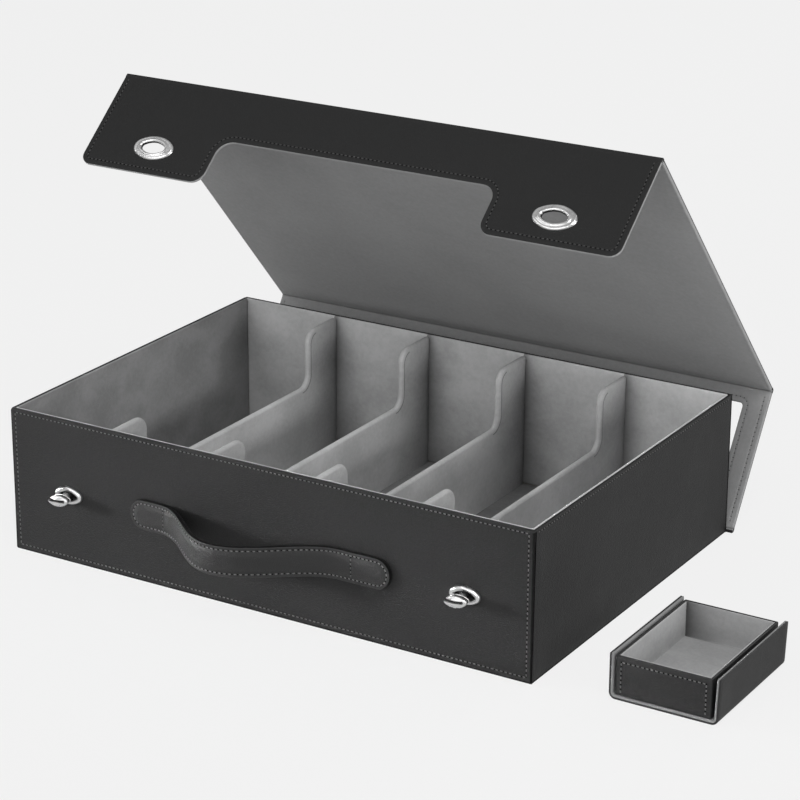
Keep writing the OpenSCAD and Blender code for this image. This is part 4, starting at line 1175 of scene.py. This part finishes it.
def lockKnob(label, side):
    # oval knob whose face is a grid: rounded at its edge, with one slanting groove along it
    s = lockShape
    a, b, edge, under = s["knobHalfLength"], s["knobHalfWidth"], s["edge"], s["knobUnder"]
    top, neck, count, rows = under + s["knobThick"], s["neck"], 96, []
    angles = np.linspace(0, 2 * math.pi, count + 1)[:-1]

    def ring(out, height, scale=1.0):
        oval = ovalAt(a, b, angles, out) * scale
        rows.append(np.concatenate([oval, np.full((count, 1), height)], 1))

    def grooveLine(x):
        return 0.25 - 0.75 * x / a + 0.5 * (x / a) ** 2

    for t in np.linspace(0, 1, 9)[:-1]:
        ring(-0.6, under, t)
    for t in np.radians(np.linspace(-90, 90, 9)):
        ring(-0.6 + 0.45 * math.cos(t), under + 0.45 + 0.45 * math.sin(t))
    for out, rise in ((-0.95, 1.0), (-1.1, 1.3), (-1.1, 1.8), (-0.85, 2.15)):
        ring(out, under + rise)
    for t in np.radians(np.linspace(-45, 90, 12)):
        ring(-edge + edge * math.cos(t), top - edge + edge * math.sin(t))
    for t in np.linspace(1, 0, 41)[1:]:
        ring(-edge, top + s["crown"] * (1 - t * t), t)
    x, y, z = np.moveaxis(np.stack(rows), -1, 0)
    inside = smoothStep((1.2 - np.abs(y - grooveLine(x)) / (s["groove"] / 2)) / 0.5)
    within = smoothStep((a - s["grooveEnd"] - x) / 1.2)
    z = z - s["grooveDepth"] * inside * within * (z > top - edge * 0.9)
    grid = np.stack([x, y, z], -1).reshape(-1, 3)
    faces = gridFaces(len(rows), count, 0, wrapCols=True)
    deep, collar = -s["wallIn"], neck + 0.55
    stem = [(0.01, deep), (collar, deep), (collar, deep + 0.55), (neck, deep + 0.6), (neck, under - 0.8),
            (neck + 0.25, under - 0.2), (neck + 0.6, under + 0.2), (0.01, under + 0.2)]
    more, moreFaces = sweepOval(0.0, 0.0, stem, asIs, 48)
    c, d = math.cos(math.radians(s["tilt"])), math.sin(math.radians(s["tilt"]))
    turn = np.array([[c, d, 0], [-d, c, 0], [0, 0, 1.0]])
    piece = buildMesh(label + "LockKnob", lockPlace(side)(np.concatenate([grid, more]) @ turn),
                      [faces, moreFaces + len(grid)], metal, label + "_knob", "polished_metal",
                      (label + "_lock_knob",), sharp=45.0)
    # faces in the groove and in the waist behind the face take the dark metal: painted shade
    middles, _ = faceData(piece)
    local = np.stack([middles[:, 0] - side * s["x"], middles[:, 2] - s["z"], -hd - middles[:, 1]], 1) @ turn.T
    x, y, z = local.T
    dark = (np.abs(y - grooveLine(x)) < s["groove"] * 0.42) & (z > top - s["grooveDepth"] - 0.8) & (x < a - 2.9)
    secondMaterial(piece, recessShadeMetal, dark | (z > under + 0.95) & (z < under + 2.4))


for label, side in (("left", -1), ("right", 1)):
    eyelet(label, side)
for label, side in (("left", -1), ("right", 1)):
    lockBase(label, side)
    lockKnob(label, side)
print("metal fittings made")


# strap handle

strap = {"half": 110.0, "width": 23.0, "z": 54.5, "arch": 40.0, "crownX": -13.0, "reachLeft": 72.0,
         "reachRight": 82.0, "inner": 1.0, "thick": 4.3, "edgeThick": 3.6, "pad": 31.0, "seamInset": 2.7,
         "rimPitch": 3.3, "barPitch": 2.9}


def strapPlace(p):
    # (along, off the inner face, up) bent over the arch, a raised cosine of the distance from its crown
    s = strap
    x = p[:, 0]
    reach = np.where(x < s["crownX"], s["reachLeft"], s["reachRight"])
    part = np.clip((x - s["crownX"]) / reach, -1, 1)
    off = s["arch"] * (1 + np.cos(math.pi * part)) / 2
    slope = -s["arch"] * np.sin(math.pi * part) * math.pi / (2 * reach)
    size = np.sqrt(1 + slope ** 2)
    return np.stack([x - p[:, 1] * slope / size, -hd - off - p[:, 1] / size, s["z"] + p[:, 2]], 1)


def stadium(inset):
    # strap outline in the plane, half round at both ends, set in by a distance
    r, span = strap["width"] / 2 - inset, strap["half"] - strap["width"] / 2
    ends = np.linspace(-math.pi / 2, math.pi / 2, 25)
    side = np.linspace(span, -span, 131)[1:-1]
    right = np.stack([span + r * np.cos(ends), r * np.sin(ends)], 1)
    upper = np.stack([side, np.full(len(side), r)], 1)
    return np.concatenate([right, upper, -right, -upper])


def strapSkin(name, edge, crown, node):
    # closed skin: both faces are grids over the strap, which narrow round its half-round ends, and
    # (inset, height) pairs make the edge. crown gives the upper face's height by its inset
    half, span = strap["width"] / 2, strap["half"] - strap["width"] / 2
    a = np.linspace(0, math.pi / 2, 17)[:-1]
    xs = np.concatenate([-span - half * np.cos(a), np.linspace(-span, span, 133),
                         (span + half * np.cos(a))[::-1]])
    over = np.maximum(np.abs(xs) - span, 0)
    reach = np.sqrt(np.maximum(half ** 2 - over ** 2, 0))
    across = np.concatenate([[-1.0], np.linspace(-0.97, -0.55, 12), np.linspace(-0.45, 0.45, 7),
                             np.linspace(0.55, 0.97, 12), [1.0]])
    grids = []
    for inset, height in edge:
        # the same outline set in: shorter along x and narrower across
        shrink = (half - inset) / half
        x = np.where(np.abs(xs) > span, np.sign(xs) * (span + over * shrink), xs)
        along, side = np.broadcast_arrays(x, reach * shrink * across[:, None])
        grids.append(np.stack([along, height + 0 * along, side], -1))
    grids[-1][..., 1] = crown(half - np.hypot(np.maximum(np.abs(along) - span, 0), side))
    piece = slabMesh(name, grids, strapPlace, strapLeather, "case", "case_leather", (node,))
    _, normals = faceData(piece)
    # the strap's side walls take the dark edge paint, partly painted shade beside the strap
    secondMaterial(piece, edgePaintAndShade, np.abs(normals[:, 1]) < 0.5)


def strapCrown(depth):
    # swells over the filler, with a trough along the seam
    s = strap
    swell = (s["thick"] + 0.1 - s["edgeThick"]) * smoothStep((depth - s["seamInset"]) / 4.0)
    trough = 0.4 * np.exp(-((depth - s["seamInset"]) / 0.6) ** 2)
    return s["edgeThick"] + 0.05 * smoothStep(depth / 0.8) + swell - trough


def strapStitches():
    # one seam round the strap's edge, and a dark one across the end of each sewn-down pad
    s = strap
    reach, pad = s["width"] / 2 - s["seamInset"] - 1.2, s["half"] - s["pad"]
    rim = [stitchLine(stadium(s["seamInset"]), True, s["rimPitch"])]
    bars = [stitchLine([[x, -reach], [x, reach]], False, s["barPitch"]) for x in (-pad, pad)]
    sewOn("strapStitches", rim, strapPlace, s["edgeThick"] - 0.3, "case", 71, strapThread)
    sewOn("padStitches", bars, strapPlace, s["thick"] + 0.02, "case", 72, darkThread)


low, top = strap["inner"], strap["edgeThick"]
strapSkin("strapInner", [(0.8, 0.0), (0.3, 0.08), (0.05, 0.3), (0.0, 0.55), (0.0, low - 0.05), (0.1, low)],
          lambda depth: 0 * depth + low, "handle_inner")
strapSkin("strapOuter", [(0.1, low), (0.0, low + 0.1), (0.0, top - 0.75), (0.06, top - 0.35), (0.2, top - 0.1),
                         (0.45, top)], strapCrown, "handle_outer")
strapStitches()
print("strap made")


# card tray and sleeve

sleeveShape = {"x": 273.0, "front": -144.0, "depth": 107.0, "height": 33.5, "width": 80.3, "radius": 5.0,
               "flare": 2.0}
trayShape = {"x": 277.2, "y": -143.0, "width": 70.5, "depth": 105.0, "z": 3.3, "height": 29.0, "leather": 1.0,
             "wall": 3.0, "corner": 1.1}


def sleevePath():
    # outer line of the U from the left rim to the right rim: points and outward normals
    s = sleeveShape
    r, flare = s["radius"], math.radians(s["flare"])
    runs = []

    def run(x, z, angle):
        # x, z and the normal's angle at the points of one stretch
        runs.append(np.stack(np.broadcast_arrays(x, z, angle), 1))

    run(0.0, np.linspace(s["height"], r, 7)[:-1], math.pi)
    a = np.linspace(math.pi, 1.5 * math.pi, 10)
    run(r + r * np.cos(a), r + r * np.sin(a), a)
    run(np.linspace(r, s["width"] - r, 14)[1:], 0.0, 1.5 * math.pi)
    a = np.linspace(-math.pi / 2, -flare, 10)[1:]
    run(s["width"] - r + r * np.cos(a), r + r * np.sin(a), a)
    x1, z1, _ = runs[-1][-1]
    z = np.linspace(z1, s["height"], 7)[1:]
    run(x1 + (z - z1) * math.tan(flare), z, -flare)
    x, z, angle = np.concatenate(runs).T
    return np.stack([x, z], 1), np.stack([np.cos(angle), np.sin(angle)], 1)


def sleevePieces():
    s = sleeveShape
    points, normals = sleevePath()
    along = np.concatenate([[0], np.cumsum(np.linalg.norm(np.diff(points, axis=0), axis=1))])

    def place(p):
        u = np.clip(p[:, 0], 0, along[-1])
        base, normal = (np.stack([np.interp(u, along, rows[:, i]) for i in (0, 1)], 1)
                        for rows in (points, normals))
        at = base + p[:, 1:2] * normal / np.linalg.norm(normal, axis=1)[:, None]
        return np.stack([s["x"] + at[:, 0], s["front"] + p[:, 2], at[:, 1]], 1)

    xs = np.unique(np.concatenate([along, np.linspace(0, along[-1], 40)]))
    ys = np.linspace(0, s["depth"], 24)
    gridPanel("sleeveSkin", place, xs, ys, lambda x, z: 0 * x,
              [(0.2, -1.45), (0.0, -1.3), (0.0, -0.45), (0.12, -0.15), (0.45, 0.0)], trayLeather, "sleeve",
              "case_leather", ("sleeve_leather",))
    lip = [(0.9, -2.2), (0.9, -1.45), (0.25, -1.45), (0.05, -1.6), (0.0, -1.85), (0.0, -2.3), (0.15, -2.7),
           (0.5, -2.95), (0.95, -3.0)]
    gridPanel("sleeveVelvet", place, xs, ys, lambda x, z: wave(x, z, 40.0, 0.05, 81), lip, sleeveNap,
              "sleeve", "velvet", ("sleeve_lining",))


sleevePieces()


def trayWalls(name, outer, inner, top, radius, material, slot, replaced, under, floorAt):
    # box of four walls and a floor: its section runs up the outside, round the rim and down inside,
    # and is carried round the tray's plan with the corners rounded
    t = trayShape
    half = np.array([t["width"] / 2, t["depth"] / 2])
    centre = np.array([t["x"], t["y"]]) + half
    middle, width = (outer + inner) / 2, (inner - outer) / 2
    section = under + [(outer, z) for z in np.linspace(under[-1][1], top - radius, 6)[1:]]
    section += [(middle - width * math.cos(a), top - radius + radius * math.sin(a))
                for a in np.linspace(0, math.pi, 9)[1:-1]]
    section += [(inner, z) for z in np.linspace(top - radius, floorAt + 0.6, 6)]
    section += [(inner + 0.15, floorAt + 0.2), (inner + 0.6, floorAt)]
    a = np.linspace(0, math.pi / 2, 5)
    rings = []
    for depth, z in section:
        c = max(t["corner"] - depth, 0.15)
        h = half - depth - c
        ring = [centre + h * signs + c * np.stack([np.cos(a + start), np.sin(a + start)], 1)
                for signs, start in (((1, 1), 0), ((-1, 1), math.pi / 2), ((-1, -1), math.pi),
                                     ((1, -1), math.pi * 1.5))]
        rings.append(np.concatenate([np.concatenate(ring), np.full((4 * len(a), 1), z)], 1))
    return tubeMesh(name, np.stack(rings), asIs, material, "tray", slot, replaced)


trayLow, trayTop = trayShape["z"], trayShape["z"] + trayShape["height"]
trayWalls("traySkin", 0.0, 1.9, trayTop, 0.6, trayLeather, "case_leather", ("tray_leather",),
          [(0.5, trayLow), (0.15, trayLow + 0.15), (0.0, trayLow + 0.5)], trayLow + trayShape["leather"])
trayWalls("trayVelvet", 1.92, trayShape["wall"], trayTop - 0.12, 0.5, trayVelvet, "velvet", ("tray_lining",),
          [(2.2, trayLow + 2.2), (2.2, trayTop - 1.7), (1.92, trayTop - 1.7)], trayLow + trayShape["wall"])


def trayStitches():
    t = trayShape
    x0, x1 = t["x"] + thread["inset"], t["x"] + t["width"] - thread["inset"]
    low, top = t["z"] + 1.5, trayTop - 4.4
    lines = [stitchLine(ends, False) for ends in (
        [[x0, top], [x1, top]], [[x0, low], [x0, top]], [[x1, low], [x1, top]])]
    return sewOn("trayStitches", lines, lambda p: np.array([0, t["y"], 0]) + p * np.array([1, -1, 1]), 0.02,
                 "tray", 91)


trayStitches()
print("tray and sleeve made")


# CAD nodes that stay

nodeLooks = {
    "board": board, "spring": spring, "plate": metal, "eyelet": metal, "lock": metal, "core": strapLeather,
}
for name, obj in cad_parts.items():
    look = next((nodeLooks[word] for word in nodeLooks if word in name), caseLeather)
    for slot in obj.material_slots:
        slot.material = look
    if not obj.material_slots:
        obj.data.materials.append(look)
print("CAD nodes dressed")


# stage, lights and camera

stageLook = {"level": 241, "paper": 228, "lit": 0.05, "size": 9.0, "below": 0.0006, "world": 0.5}


def mixShader(tree, factor, first, second, target):
    mixed = addNode(tree, "ShaderNodeMixShader")
    for socket, value in zip(mixed.inputs, (factor, first.outputs[0], second.outputs[0])):
        feed(tree, socket, value)
    feed(tree, target.inputs["Surface"], mixed.outputs[0])


def stageFloor():
    # pale floor: part of its tone is plain background seen by the camera, part is lit and shadowed
    material, tree, shader = startMaterial("paleFloorLook")
    coat(tree, shader, noise(tree, objectPlace(tree), 900.0, 3.0), 0.05, 0.0003,
         Base_Color=grey(stageLook["paper"]), Roughness=0.9, Specular_IOR_Level=0.1)
    rays = addNode(tree, "ShaderNodeLightPath").outputs
    seen = mathNode(tree, "MAXIMUM", rays["Is Camera Ray"], rays["Is Glossy Ray"])
    glow = addNode(tree, "ShaderNodeEmission", Color=grey(stageLook["level"]))
    factor = mathNode(tree, "MULTIPLY", seen, 1.0 - stageLook["lit"])
    mixShader(tree, factor, shader, glow, tree.nodes["Material Output"])
    half, z = stageLook["size"] / 2, -stageLook["below"]
    corners = [(x * half, y * half, z) for x, y in ((-1, -1), (1, -1), (1, 1), (-1, 1))]
    mesh = bpy.data.meshes.new("paleFloor")
    mesh.from_pydata(corners, [], [(0, 1, 2, 3)])
    mesh.materials.append(material)
    floor = linked("paleFloor", mesh)


def stageWorld():
    world = bpy.data.worlds.new("paleRoom")
    bpy.context.scene.world = world
    world.use_nodes = True
    tree = world.node_tree
    tree.nodes.clear()
    soft = addNode(tree, "ShaderNodeBackground", Color=(1, 1, 1, 1), Strength=stageLook["world"])
    plain = addNode(tree, "ShaderNodeBackground", Color=grey(stageLook["level"]), Strength=1.0)
    seen = addNode(tree, "ShaderNodeLightPath").outputs["Is Camera Ray"]
    mixShader(tree, seen, soft, plain, addNode(tree, "ShaderNodeOutputWorld"))


def placed(obj, right, up, back, place):
    # turns and places an object by its own axes
    turn = np.eye(4)
    turn[:3, 0], turn[:3, 1], turn[:3, 2], turn[:3, 3] = right, up, back, place
    obj.matrix_world = Matrix(turn.tolist())
    return obj


# place and target in metres, size, power in watts, and spread in degrees, which a grid narrows
lamps = {
    "keySoftbox": ((-0.3, -2.5, 1.0), (0, 0, 0.1), (2.0, 1.4), 28.5, 180),
    "sideSoftbox": ((2.1, -0.2, 0.55), (0.1, 0, 0.1), (1.2, 0.6), 17, 180),
    "highSoftbox": ((1.0, -1.2, 2.2), (0.05, 0, 0.08), (0.8, 0.8), 26, 180),
    "leftSoftbox": ((-1.3, -0.75, 0.25), (-0.05, -0.22, 0.03), (0.3, 0.3), 0.42, 16),
    "topSoftbox": ((-1.0, -0.9, 1.5), (-0.1, -0.1, 0.1), (0.6, 0.6), 4, 180),
    "backSoftbox": ((0.6, 2.3, 1.5), (0, 0.1, 0.1), (1.6, 1.2), 22, 180),
}


def softLamp(name, place, target, size, power, spread):
    lamp = bpy.data.lights.new(name, "AREA")
    lamp.shape = "RECTANGLE"
    lamp.size, lamp.size_y = size
    lamp.energy, lamp.spread = power, math.radians(spread)
    back = np.array(place, float) - np.array(target, float)
    back /= np.linalg.norm(back)
    side = np.cross([0, 0, 1.0], back)
    side /= np.linalg.norm(side)
    placed(linked(name, lamp), side, np.cross(back, side), back, place)


# pinhole fitted to the corners of the object in the photo: its centre in millimetres, and its axes
photoCamera = {
    "lens": 125.015, "sensor": 36.0, "near": 0.05, "far": 40.0, "centre": (1018.544, -1642.287, 833.034),
    "right": (0.85431194, 0.51974905, 0.00346938), "down": (0.18428588, -0.29665605, -0.93703463),
    "ahead": (-0.48599365, 0.80115923, -0.34921921),
}


def stageCamera():
    p = photoCamera
    camera = bpy.data.cameras.new("photoCamera")
    camera.lens, camera.sensor_width, camera.sensor_fit = p["lens"], p["sensor"], "HORIZONTAL"
    camera.clip_start, camera.clip_end = p["near"], p["far"]
    right, down, ahead, centre = (np.array(p[key]) for key in ("right", "down", "ahead", "centre"))
    bpy.context.scene.camera = placed(linked("photoCamera", camera), right, -down, -ahead, centre * mm)


stageFloor()
stageWorld()
for name, lamp in lamps.items():
    softLamp(name, *lamp)
stageCamera()
bpy.context.scene.view_settings.view_transform = "Standard"
print("stage set")
